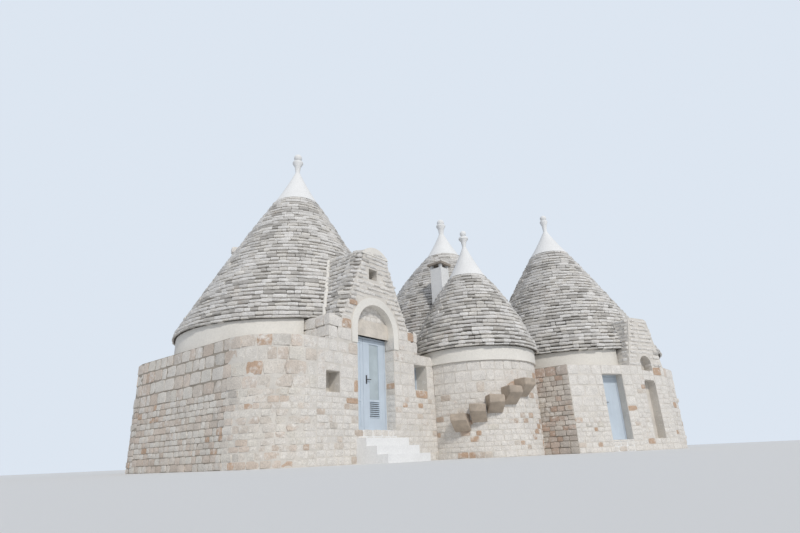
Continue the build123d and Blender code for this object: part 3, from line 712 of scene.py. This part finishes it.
def rings(low, high):
    """Middle heights of the level rings of slabs between two heights, and their rise."""
    count = round((high - low) / course_rise)
    rise = (high - low) / count
    return [low + (number + 0.5) * rise for number in range(count)], rise


def slab(place, heading, length, height, chance, stand, wash=0.12):
    """One roof slab with its outer face on a place, facing right of its heading."""
    outward = (math.sin(heading), -math.cos(heading))
    out = stand + chance.uniform(-0.012, 0.016) - slab_depth / 2
    fill = chance.uniform(0.55, 0.76) if chance.random() < 0.45 else chance.uniform(0.80, 0.96)
    gap = 0.93 if chance.random() < 0.15 else 1.04
    return (
        (place[0] + outward[0] * out, place[1] + outward[1] * out, place[2] + chance.uniform(-0.006, 0.006)),
        (chance.uniform(-0.10, 0.04), chance.uniform(-0.04, 0.04), heading + chance.uniform(-0.05, 0.05)),
        (length * gap, slab_depth, height * fill),
        chance.random() ** 0.8,
        wash + chance.uniform(-0.12, 0.12),
    )


def roof_stones(cone, seed, keep=None):
    """Rings of slabs on the roof's ledges, from the eaves to the cap."""
    _, centre, eaves, form = cone
    chance = random.Random(seed)
    heights, rise = rings(eaves + eaves_slab, form[2][1])
    ledges = [(eaves + eaves_slab / 2, form[0][0], eaves_slab)]
    ledges += [(z, cone_radius(form, z), rise) for z in heights]
    stones = []
    for z, radius, height in ledges:
        angle = chance.uniform(0, 2 * math.pi)
        end = angle + 2 * math.pi
        while angle < end - 0.03:
            length = chance.uniform(0.13, 0.34)
            if (end - angle) * radius - length < 0.15:
                length = (end - angle) * radius
            middle = angle + length / radius / 2
            place = (centre[0] + radius * math.cos(middle), centre[1] + radius * math.sin(middle), z)
            if keep is None or keep(place):
                stones.append(slab(place, middle + math.pi / 2, length, height, chance, 0.018))
            angle += length / radius
    return stones


Cone = namedtuple("Cone", "house centre eaves form")
main_form = ((3.130, 3.270), (1.885, 5.560), (0.675, 7.600))
right_form = ((3.030, 2.900), (1.730, 5.130), (0.670, 6.890))
small_form = ((1.800, 2.810), (1.230, 4.120), (0.540, 5.160))
back_form = ((3.150, 3.770), (1.950, 6.350), (0.690, 7.880))
main_cone = Cone("main", (0, 0), main_eaves, main_form)
small_cone = Cone("small", small_centre, small_eaves, small_form)
right_cone = Cone("right", right_centre, right_eaves, right_form)
back_cone = Cone("back", (7.74, -0.17), 3.70, back_form)
dormer_axis = -0.09
dormer_foot, dormer_crest = 1.56, 0.45
dormer_low, dormer_high = 2.60, 5.09


def dormer_half(z):
    share = (z - dormer_low) / (dormer_high - dormer_low)
    return dormer_foot + (dormer_crest - dormer_foot) * share


def outside_dormer(place):
    """Whether a slab of the main cone lies clear of the dormer that covers it."""
    x, y, z = place
    return not (y < 0 and z < dormer_high - 0.08 and abs(x - dormer_axis) < dormer_half(z) - 0.12)


# One squared, whitewashed stone stands out of the main cone high on its left side.
knob_angle, knob_z = math.radians(152), 5.92
knob_out = cone_radius(main_form, knob_z) + 0.04
knob_place = (knob_out * math.cos(knob_angle), knob_out * math.sin(knob_angle), knob_z)
knob_size, knob_tone, knob_wash = (0.22, 0.24, 0.17), 0.35, 1.2
knob = (knob_place, (0.0, 0.0, knob_angle + math.pi / 2), knob_size, knob_tone, knob_wash)
lay_slabs("main_roof_slabs", roof_stones(main_cone, 31, outside_dormer) + [knob], 11)
lay_slabs("small_roof_slabs", roof_stones(small_cone, 32), 12)
lay_slabs("right_roof_slabs", roof_stones(right_cone, 33), 13)
lay_slabs("back_roof_slabs", roof_stones(back_cone, 34), 14)


def turned(name, node, material, centre, profile, sides=72):
    """A form turned about a house's axis, in a node's place; its profile ends on the axis."""
    x, y = centre
    vertices = [(x, y, profile[0][1])]
    for radius, z in profile[1:-1]:
        for side in range(sides):
            angle = 2 * math.pi * side / sides
            vertices.append((x + radius * math.cos(angle), y + radius * math.sin(angle), z))
    top = len(vertices)
    vertices.append((x, y, profile[-1][1]))
    faces = []
    for first in range(1, top - sides, sides):
        faces += band(first, sides)
    for side in range(sides):
        after = (side + 1) % sides
        faces += [(0, 1 + after, 1 + side), (top - sides + side, top - sides + after, top)]
    mesh = mesh_of(name, vertices, faces)
    mesh.shade_smooth()
    mesh.set_sharp_from_angle(angle=math.radians(35))
    mesh.materials.append(material)
    placed(name, mesh, node)


# Painted shadow: a near-black bed behind the roof slabs and inside the dormer, standing for the shade in the
# gaps and behind the door.
painted_shadow_bed = plain_finish("shadowed_joint_bed", (0.10, 0.088, 0.075), 0.35, 3.0, relief=0.6)


def roof_core(cone, room):
    """The beds behind a cone's slabs, painted near black as the shadow in their gaps, domed inside over a
    round room.
    """
    house, centre, eaves, form = cone
    dome_top = form[2][1] - 0.5
    dome = ((room, eaves), (room * 0.58, (eaves + dome_top) / 2), (0.0, dome_top))
    dome_parts, cone_parts, bed = 12, 20, 0.12
    profile = [(0.0, dome_top)]
    for part in range(dome_parts - 1, -1, -1):
        z = eaves + (dome_top - eaves) * part / dome_parts
        profile.append((cone_radius(dome, z), z))
    profile.append((form[0][0] - 0.02, eaves))
    foot = eaves + eaves_slab
    for part in range(cone_parts + 1):
        z = foot + (form[2][1] - foot) * part / cone_parts
        profile.append((cone_radius(form, z) - bed, z))
    profile.append((0.0, form[2][1]))
    turned(house + "_roof_core", house + "_roof", painted_shadow_bed, centre, profile)


for cone, room in ((main_cone, 2.15), (small_cone, 1.00), (right_cone, 2.00), (back_cone, 1.30)):
    roof_core(cone, room)

# Pinnacles.
# Each cone ends in a cap of white lime plaster that is drawn in to a neck, opens to a
# small cup and carries a ball, smoothed by hand.
white_plaster = plain_finish("white_lime_plaster", (0.87, 0.87, 0.86), 0.08, 1.3)


def pinnacle(cone, neck, cup, ball, top):
    """A turned cap; neck, cup and ball are (radius, height), the ball's height its centre."""
    skirt = (cone.form[2][0] + 0.035, cone.form[2][1])
    skirt_parts, ball_parts, hollowing, rim = 12, 10, 0.14, 0.02
    profile = [(0.0, skirt[1])]
    for part in range(skirt_parts + 1):
        share = part / skirt_parts
        hollow = hollowing * (skirt[0] + neck[0]) * share * (1 - share)
        radius = skirt[0] + (neck[0] - skirt[0]) * share - hollow
        profile.append((radius, skirt[1] + (neck[1] - skirt[1]) * share))
    profile.append((neck[0] + (cup[0] - neck[0]) * 0.3, neck[1] + (cup[1] - neck[1]) * 0.55))
    profile += [(cup[0], cup[1] - 3 * rim), (cup[0], cup[1] - rim), (cup[0] - 0.014, cup[1])]
    profile.append((ball[0] / 2, cup[1]))
    for part in range(ball_parts):
        angle = math.radians(-60 + 150 * part / ball_parts)
        profile.append((ball[0] * math.cos(angle), ball[1] + ball[0] * math.sin(angle)))
    profile.append((0.0, top))
    name = cone.house + "_pinnacle"
    turned(name + "_plaster", name, white_plaster, cone.centre, profile)


pinnacle(main_cone, (0.068, 8.825), (0.168, 9.220), (0.130, 9.370), 9.50)
pinnacle(small_cone, (0.056, 6.230), (0.150, 6.560), (0.100, 6.690), 6.79)
pinnacle(right_cone, (0.067, 7.950), (0.142, 8.390), (0.120, 8.500), 8.62)
pinnacle(back_cone, (0.098, 9.030), (0.198, 9.450), (0.156, 9.564), 9.72)

# Main dormer.
# The front over the doorway is clad in the same slabs as the cone: they run round its
# shoulders and back to the cone, and stop at the plastered ring of the arch.
arch_centre = (-0.14, 3.00)
arch_inner, arch_outer, arch_recess = 0.64, 0.83, 0.19
shoulder_z = 3.16
window_left, window_right, window_low, window_high = -0.34, -0.05, 4.29, 4.57


def along_line(path, chance):
    """Slabs of random length side by side along a line: each one's place, heading and length."""
    shortest, longest = 0.12, 0.30
    reached = walk(path)
    here = 0.0
    while here < reached[-1] - 0.02:
        length = chance.uniform(shortest, longest)
        if reached[-1] - here - length < shortest:
            length = reached[-1] - here
        place, heading = at(path, reached, here + length / 2)
        yield *place, heading, length
        here += length


def round_front(half, bend, parts, left_end, right_end):
    """A line round a dormer, as (across, inwards), from the end of one side to the other's."""
    line = [(-half, left_end), (-half, bend)] + arc((bend - half, bend), bend, 180, 270, parts)[1:]
    return line + arc((half - bend, bend), bend, 270, 360, parts) + [(half, right_end)]


def dormer_stones():
    """Slabs on the dormer, those near the arch splashed with limewash."""
    chance = random.Random(41)
    stones = []
    heights, rise = rings(shoulder_z, dormer_high - 0.03)
    for z in heights:
        half = dormer_half(z)
        radius = cone_radius(main_form, max(z, main_form[0][1]))
        sides = (dormer_axis - half, dormer_axis + half)
        ends = (0.05 - math.sqrt(max(radius * radius - x * x, 0.0)) - rampart_front for x in sides)
        flat = round_front(half, min(0.22, half * 0.4), 4, *ends)
        path = [(dormer_axis + across, rampart_front + inward) for across, inward in flat]
        for x, y, heading, length in along_line(path, chance):
            on_front = y < rampart_front + 0.06
            from_arch = math.dist((x, z), arch_centre) - arch_outer
            beside = window_left - length * 0.4 < x < window_right + length * 0.4
            in_window = beside and window_low - 0.03 < z < window_high + 0.03
            if on_front and (from_arch < 0.1 or in_window):
                continue
            wash = max(0.75 - from_arch * 0.5, 0.25) if on_front else 0.15
            stones.append(slab((x, y, z), heading, length, rise, chance, 0.012, wash))
    return stones


def crested(inset, doorway):
    """The dormer's outline as (x, z), drawn in, with rounded crest corners and a doorway."""
    lean = math.atan2(dormer_foot - dormer_crest, dormer_high - dormer_low)
    bend = 0.28
    across = dormer_half(dormer_high - bend) - inset - bend / math.cos(lean)
    corner_z = dormer_high - bend
    right = arc((dormer_axis + across, corner_z), bend, math.degrees(lean), 90, 6)
    left = arc((dormer_axis - across, corner_z), bend, 90, 180 - math.degrees(lean), 6)
    foot = dormer_foot - inset
    return [(dormer_axis + foot, dormer_low)] + right + left + [(dormer_axis - foot, dormer_low)] + doorway


def standing(front, depth):
    """Stands a plate on edge with its outer face at a place."""
    return Matrix.Translation((0, front + depth / 2, 0)) @ Matrix.Rotation(math.pi / 2, 4, "X")


def plates(name, node, *layers):
    """Plates as one piece in a node's place; a layer is (material, outlines, front, depth)."""
    joined = bmesh.new()
    mesh = bpy.data.meshes.new(name)
    for number, (material, outlines, front, depth) in enumerate(layers):
        plate = outline_mesh(outlines, depth, standing(front, depth))
        for face in plate.polygons:
            face.material_index = number
        joined.from_mesh(plate)
        mesh.materials.append(material)
        bpy.data.meshes.remove(plate)
    joined.to_mesh(mesh)
    joined.free()
    placed(name, mesh, node)


def doorway_notch(widening):
    """The square doorway under the lintel, from its left foot round to its right foot."""
    left, right = door_left - widening, door_right + widening
    return [(left, dormer_low), (left, door_top), (right, door_top), (right, dormer_low)]


def oblong(left, right, low, high):
    return [(left, low), (right, low), (right, high), (left, high)]


def mortar_bead(name, points, thickness, seed):
    """A trowelled fillet of lime mortar along a line of points."""
    chance = random.Random(seed)
    sides, flatness = 8, 0.6
    vertices = []
    for number, point in enumerate(points):
        before = Vector(points[max(number - 1, 0)])
        after = Vector(points[min(number + 1, len(points) - 1)])
        along = (after - before).normalized()
        across = along.cross(Vector((0.0, 0.0, 1.0))).normalized()
        outward = across.cross(along)
        for side in range(sides):
            angle = 2 * math.pi * side / sides
            reach = thickness * chance.uniform(0.55, 1.4)
            spoke = across * math.cos(angle) + outward * math.sin(angle) * flatness
            vertices.append(Vector(point) + spoke * reach)
    faces = []
    for first in range(0, len(vertices) - sides, sides):
        faces += band(first, sides)
    mesh = mesh_of(name, vertices, faces)
    mesh.shade_smooth()
    plastered(name, mesh)


def dormer_valley(side):
    """Where one side of the dormer runs out on the cone, from the eaves to the crest."""
    points = []
    parts, low = 39, 3.22
    for part in range(parts + 1):
        z = low + (dormer_high - 0.03 - low) * part / parts
        x = dormer_axis + side * dormer_half(z)
        radius = cone_radius(main_form, max(z, main_form[0][1])) + 0.01
        points.append((x + side * 0.02, -math.sqrt(radius * radius - x * x), z))
    return points


lay_slabs("dormer_slabs", dormer_stones(), 15)
behind_ring = 0.012
arched_way = [(door_left - behind_ring, dormer_low)]
arched_way += arc(arch_centre, arch_inner + behind_ring, 180, 0, 24)
arched_way.append((door_right + behind_ring, dormer_low))
light = oblong(window_left, window_right, window_low, window_high)
recess_face = rampart_front + arch_recess
leaf_back, reveal_widening = -2.955, 0.05
front_layer = (pale_mortar, [crested(0.12, arched_way), light], rampart_front, arch_recess)
plates("dormer_front_wall", "dormer_front", front_layer)
# The rear plate's back layer is painted near black as the shade inside the dormer, behind the door and the
# small window.
plates(
    "dormer_rear_wall",
    "dormer_body",
    (pale_mortar, [crested(0.0, doorway_notch(0.0)), light], recess_face, leaf_back - recess_face),
    (painted_shadow_bed, [crested(0.05, doorway_notch(reveal_widening)), light], leaf_back, 1.45),
)

# Arch and lintel.
# A ring of lime plaster lines the half-round arch. In its recess one block of dressed tufa
# spans the doorway as the lintel.
ring_low = 2.63
arch_top = arc(arch_centre, arch_inner, 0, 180, 24)
ring_outer = arc(arch_centre, arch_outer, 0, 180, 24)
ring = [(arch_centre[0] + arch_outer, ring_low)] + ring_outer + [(arch_centre[0] - arch_outer, ring_low)]
ring += [(door_left, ring_low)] + arch_top[::-1] + [(door_right, ring_low)]
proud = 0.02
arch_ring = (cream_plaster, [ring], rampart_front - proud, arch_recess + proud)
plates("arch_plaster", "door_arch", arch_ring)
lintel_top = 3.27
dressed_stone = plain_finish("dressed_tufa", (0.76, 0.70, 0.62), 0.22, 4.0, relief=0.9)
lintel = oblong(door_left, door_right, door_top, lintel_top)
plates("lintel_block", "door_lintel", (dressed_stone, [lintel], recess_face - 0.025, 0.23))

# Doorway stones and mortar.
# Squared blocks carry the dormer's shoulders, fill the recess over the lintel and line the
# door's jamb. Lime mortar seals the valleys, the shoulders and the crest.
foot_half = dormer_half(dormer_low)
foot_left, foot_right, foot_back = dormer_axis - foot_half, dormer_axis + foot_half, -2.45
foot_line = [(foot_left, rampart_front), (foot_right, rampart_front)]
to_arch = arch_centre[0] - foot_left
arch_hole = (to_arch - arch_outer, to_arch + arch_outer, dormer_low, shoulder_z)
low_course = {"crown": 2, "relief": 0.010, "bottom": dormer_low}
shoulders = wall_stones(foot_line, shoulder_z, 43, washed, [arch_hole], **low_course)
for seed, line in (
    (48, [(foot_left, foot_back), (foot_left, rampart_front)]),
    (49, [(foot_right, rampart_front), (foot_right, foot_back)]),
):
    shoulders += wall_stones(line, shoulder_z + 0.04, seed, washed, **low_course)
tympanum_line = [(door_left, recess_face), (door_right, recess_face)]
tympanum_top = lintel_top + 0.375
tympanum = wall_stones(tympanum_line, tympanum_top, 46, washed, crown=0, relief=0.010, bottom=lintel_top)
under_arch = arch_inner - 0.03
tympanum = [stone for stone in tympanum if math.dist(stone[0][::2], arch_centre) < under_arch]
jamb_line = [(door_right, rampart_front + 0.27), (door_right, rampart_front)]
jamb = wall_stones(jamb_line, door_top, 47, washed, relief=0.006, bottom=door_foot)
jamb = reddened(jamb, [(door_right, -3.23, 1.67)])
shoulders = reddened(shoulders, [(-1.08, rampart_front, 3.0)])
red_slab = ((-0.91, rampart_front + 0.055, 3.58), (0.0, 0.0, 0.0), (0.26, 0.16, 0.11), red_tone, red_wash)
lay("doorway_stones", shoulders + tympanum + jamb + [red_slab], 17)
mortar_bead("dormer_left_valley", dormer_valley(-1), 0.05, 44)
mortar_bead("dormer_right_valley", dormer_valley(1), 0.05, 45)
bed_low, bed_high, bed_width = 3.11, 3.18, 0.36
for side, outer in (("left", foot_left + 0.04), ("right", foot_right - 0.04)):
    inner = outer + (bed_width if side == "left" else -bed_width)
    bed = oblong(min(inner, outer), max(inner, outer), rampart_front + 0.04, foot_back)
    plastered(f"dormer_{side}_shoulder_bed", level_plate(bed, bed_low, bed_high))
crest_arc = arc((dormer_axis, 4.56), 0.62, 38, 142, 14)
crest_front, crest_depth = rampart_front - 0.012, 1.30
crest = outline_mesh([crest_arc], crest_depth, standing(crest_front, crest_depth))
plastered("dormer_crest_plaster", crest)

# Right dormer.
# The porch wall runs up into a small dormer over its recess, clad in slabs that are
# limewashed in front and die away into the right cone.
right_dormer_top, right_dormer_crest, right_dormer_back = 3.75, 0.40, 1.5


def right_dormer_stones():
    """Slabs on the right dormer, clear of the porch's upper recess and of the cone."""
    chance = random.Random(42)
    left, right = Vector(porch_left), Vector(porch_right)
    along = (right - left).normalized()
    inward = Vector((-along.y, along.x))
    middle = (left + right) / 2
    foot, recess_top, face = porch_width / 2, 2.66, 0.05
    stones = []
    heights, rise = rings(right_top, right_dormer_top - 0.03)
    for z in heights:
        share = (z - right_top) / (right_dormer_top - right_top)
        half = foot + (right_dormer_crest - foot) * share
        flat = round_front(half, 0.12, 3, right_dormer_back, right_dormer_back)
        path = [tuple(middle + along * x + inward * y) for x, y in flat]
        for x, y, heading, length in along_line(path, chance):
            offset = (Vector((x, y)) - middle).dot(along)
            deep = (Vector((x, y)) - middle).dot(inward)
            if deep < face and abs(offset) < recess_half + length * 0.3 and z < recess_top:
                continue
            if math.dist((x, y), right_centre) < cone_radius(right_form, max(z, right_form[0][1])) - 0.1:
                continue
            wash = 0.72 if deep < face else hardly
            stones.append(slab((x, y, z), heading, length, rise, chance, 0.006, wash))
    return stones


lay_slabs("right_dormer_slabs", right_dormer_stones(), 16)
repaint(pale_mortar, "right_dormer")

# The last stone is laid, so the heaps go.
for pile in (blocks, slabs):
    for leftover in list(pile.objects):
        bpy.data.objects.remove(leftover)
    bpy.data.collections.remove(pile)

# Flying stair.
# Rough blocks are let into the small drum one above the other, deep at the wall and cut
# away underneath, so that they stand free as steps.
stair_count = 5
stair_first, stair_last = (-164, 1.06), (-106, 1.88)
step_out, step_thick, step_corbel, step_wide = 0.38, 0.18, 0.25, 0.40
step_stone = plain_finish("flying_step_stone", (0.56, 0.47, 0.38), 0.35, 3.0, relief=1.2)


def flying_block(joined, angle, top, chance):
    """One step: its side outline as (outwards, z) from the wall, drawn out sideways."""
    let_in, toe, under = -0.05, 0.03, top - step_thick
    outline = ((let_in, top), (step_out, top), (step_out, under))
    outline += ((toe, under - step_corbel), (let_in, under - step_corbel))
    turn = Matrix.Rotation(math.radians(angle), 4, "Z")
    foot = Vector((*small_centre, 0.0))
    sides = []
    for side in (-1, 1):
        ends = []
        for out, z in outline:
            spread = side * step_wide / 2 * chance.uniform(0.88, 1.08)
            wear = 0.02 * (out > 0)
            reach = small_drum + out + chance.uniform(-wear, wear)
            place = Vector((reach, spread, z + chance.uniform(-wear, wear)))
            ends.append(joined.verts.new(turn @ place + foot))
        sides.append(ends)
    left, right = sides
    faces = [joined.faces.new(left), joined.faces.new(right[::-1])]
    for number in range(len(outline)):
        after = (number + 1) % len(outline)
        faces.append(joined.faces.new((left[after], left[number], right[number], right[after])))
    bmesh.ops.recalc_face_normals(joined, faces=faces)
    edges = list({edge for face in faces for edge in face.edges})
    bmesh.ops.bevel(joined, geom=edges, offset=0.03, segments=2, profile=0.6, affect="EDGES")


def flying_steps():
    chance = random.Random(51)
    joined = bmesh.new()
    for number in range(stair_count):
        share = number / (stair_count - 1)
        angle = stair_first[0] + (stair_last[0] - stair_first[0]) * share
        top = stair_first[1] + (stair_last[1] - stair_first[1]) * share
        flying_block(joined, angle, top, chance)
    mesh = bpy.data.meshes.new("flying_steps")
    joined.to_mesh(mesh)
    joined.free()
    mesh.materials.append(step_stone)
    placed("flying_steps", mesh, "flying_stair")


flying_steps()

# Chimney.
# A square shaft of limewashed masonry rises beside the back cone. Its lid, a slab painted
# dark brown for the shade on its underside, stands on four short pillars.
# Painted shade: the lid's dark brown colour stands for the shadow under the slab, seen from below.
painted_shade_lid = plain_finish("chimney_lid_stone", (0.38, 0.33, 0.28), 0.25, 5.0, relief=0.7)
repaint(white_plaster, "chimney_shaft")
repaint(painted_shade_lid, "chimney_lid")

# Floors and steps.
# The two rooms behind a door are floored with worn limestone paving. The steps and the
# sills in front of them are limewashed like the walls.
floor_paving = plain_finish("worn_paving", (0.62, 0.57, 0.49), 0.2, 1.4, rough=0.6)
repaint(floor_paving, "main_floor", "right_floor")
repaint(white_plaster, "main_door_steps", "main_threshold", "right_threshold")


# Doors.
# Pine leaves and frames under pale blue oil paint, brushed along the grain, with a glass
# pane over fixed louvres in the wide leaf and an iron lever handle.
def painted_wood():
    finish = Finish("pale_blue_door_paint")
    along_grain = {"Vector": finish.place(), "Scale": (60.0, 60.0, 2.5)}
    stretched = finish.node("ShaderNodeMapping", inputs=along_grain)
    strokes = finish.noise(1.0, 5.0, 0.6, stretched)
    clouds = finish.ramp(finish.noise(2.2, 5.0), (0.3, 0.93), (0.7, 1.04))
    colour = finish.shaded(rgb(0.59, 0.67, 0.75), clouds)
    return finish.close(
        base_color=finish.shaded(colour, finish.ramp(strokes, (0.3, 0.94), (0.7, 1.03))),
        roughness=finish.ramp(strokes, (0.3, 0.42), (0.7, 0.56)),
        normal=finish.bump(strokes, 0.25, 0.002),
    )


blue_paint = painted_wood()
repaint(blue_paint, "main_door_leaf", "narrow_door_leaf", "main_door_frame", "side_window_casement")
repaint(blue_paint, "right_door_leaf", "right_door_frame")


def glass_finish():
    finish = Finish("curtained_door_glass")
    folds = finish.ramp(finish.noise(3.0, 3.0), (0.3, 0.85), (0.7, 1.1))
    return finish.close(
        base_color=finish.shaded(rgb(0.47, 0.54, 0.57), folds),
        roughness=0.12,
        normal=finish.bump(finish.noise(5.0, 2.0), 0.08, 0.01),
    )


repaint(glass_finish(), "main_door_glass", "side_window_glass")


def iron_finish():
    finish = Finish("dark_hand_worn_iron")
    rub = finish.noise(60.0, 4.0)
    return finish.close(
        base_color=finish.colours(rub, (0.3, (0.05, 0.05, 0.055)), (0.75, (0.16, 0.15, 0.15))),
        metallic=0.7,
        roughness=finish.ramp(rub, (0.3, 0.35), (0.7, 0.6)),
    )


repaint(iron_finish(), "main_door_handle", "right_door_handle")

# Camera.
# It stands low on the left in front of the rampart and looks up at the cones, as in the
# photo, rolled a little out of level.
heading, tilt, roll = math.radians(50.98), math.radians(20.30), math.radians(-2.547)
photo_width, focal_pixels, sensor_width = 800, 515.24, 36.0
camera_data = bpy.data.cameras.new("photo_camera")
camera_data.sensor_width = sensor_width
camera_data.lens = focal_pixels / photo_width * sensor_width
camera = bpy.data.objects.new("photo_camera", camera_data)
camera.matrix_world = (
    Matrix.Translation((-9.265, -11.581, 0.102))
    @ Matrix.Rotation(-heading, 4, "Z")
    @ Matrix.Rotation(math.pi / 2 + tilt, 4, "X")
    @ Matrix.Rotation(roll, 4, "Z")
)
bpy.context.scene.collection.objects.link(camera)
bpy.context.scene.camera = camera

# Studio.
# The house stands on a pale floor under a pale sky, with one broad soft sun from the left,
# where the photo has its own.
floor_reach = 120.0
floor_corners = oblong(-floor_reach, floor_reach, -floor_reach, floor_reach)
floor_mesh = mesh_of("studio_floor", [(*place, 0.0) for place in floor_corners], [(0, 1, 2, 3)])
studio_floor = bpy.data.objects.new("studio_floor", floor_mesh)
bpy.context.scene.collection.objects.link(studio_floor)
floor_finish = Finish("pale_studio_floor")
floor_mesh.materials.append(floor_finish.close(base_color=rgb(0.72, 0.72, 0.71), roughness=0.9))

sun_data = bpy.data.lights.new("soft_sun", "SUN")
sun_data.energy = 1.75
sun_data.angle = math.radians(6.0)
sun_data.color = (1.0, 0.965, 0.91)
sun = bpy.data.objects.new("soft_sun", sun_data)
sun.rotation_euler = Vector((0.40, 0.74, -0.70)).to_track_quat("-Z", "Y").to_euler()
bpy.context.scene.collection.objects.link(sun)

world = bpy.data.worlds.new("pale_studio_sky")
bpy.context.scene.world = world
world.use_nodes = True
sky = Nodes(world.node_tree)
ambient = sky.node("ShaderNodeBackground", inputs={"Color": rgb(0.80, 0.87, 1.0), "Strength": 0.56})
shown = sky.node("ShaderNodeBackground", inputs={"Color": rgb(0.72, 0.79, 0.88), "Strength": 1.0})
straight = sky.node("ShaderNodeLightPath", output="Is Camera Ray")
mirrored = sky.node("ShaderNodeLightPath", output="Is Glossy Ray")
refracted = sky.node("ShaderNodeLightPath", output="Is Transmission Ray")
looked_at = (straight + mirrored + refracted).limited()
sky_surface = sky.node("ShaderNodeMixShader", inputs={0: looked_at, 1: ambient, 2: shown})
sky.node("ShaderNodeOutputWorld", inputs={"Surface": sky_surface})
bpy.context.scene.view_settings.view_transform = "Standard"
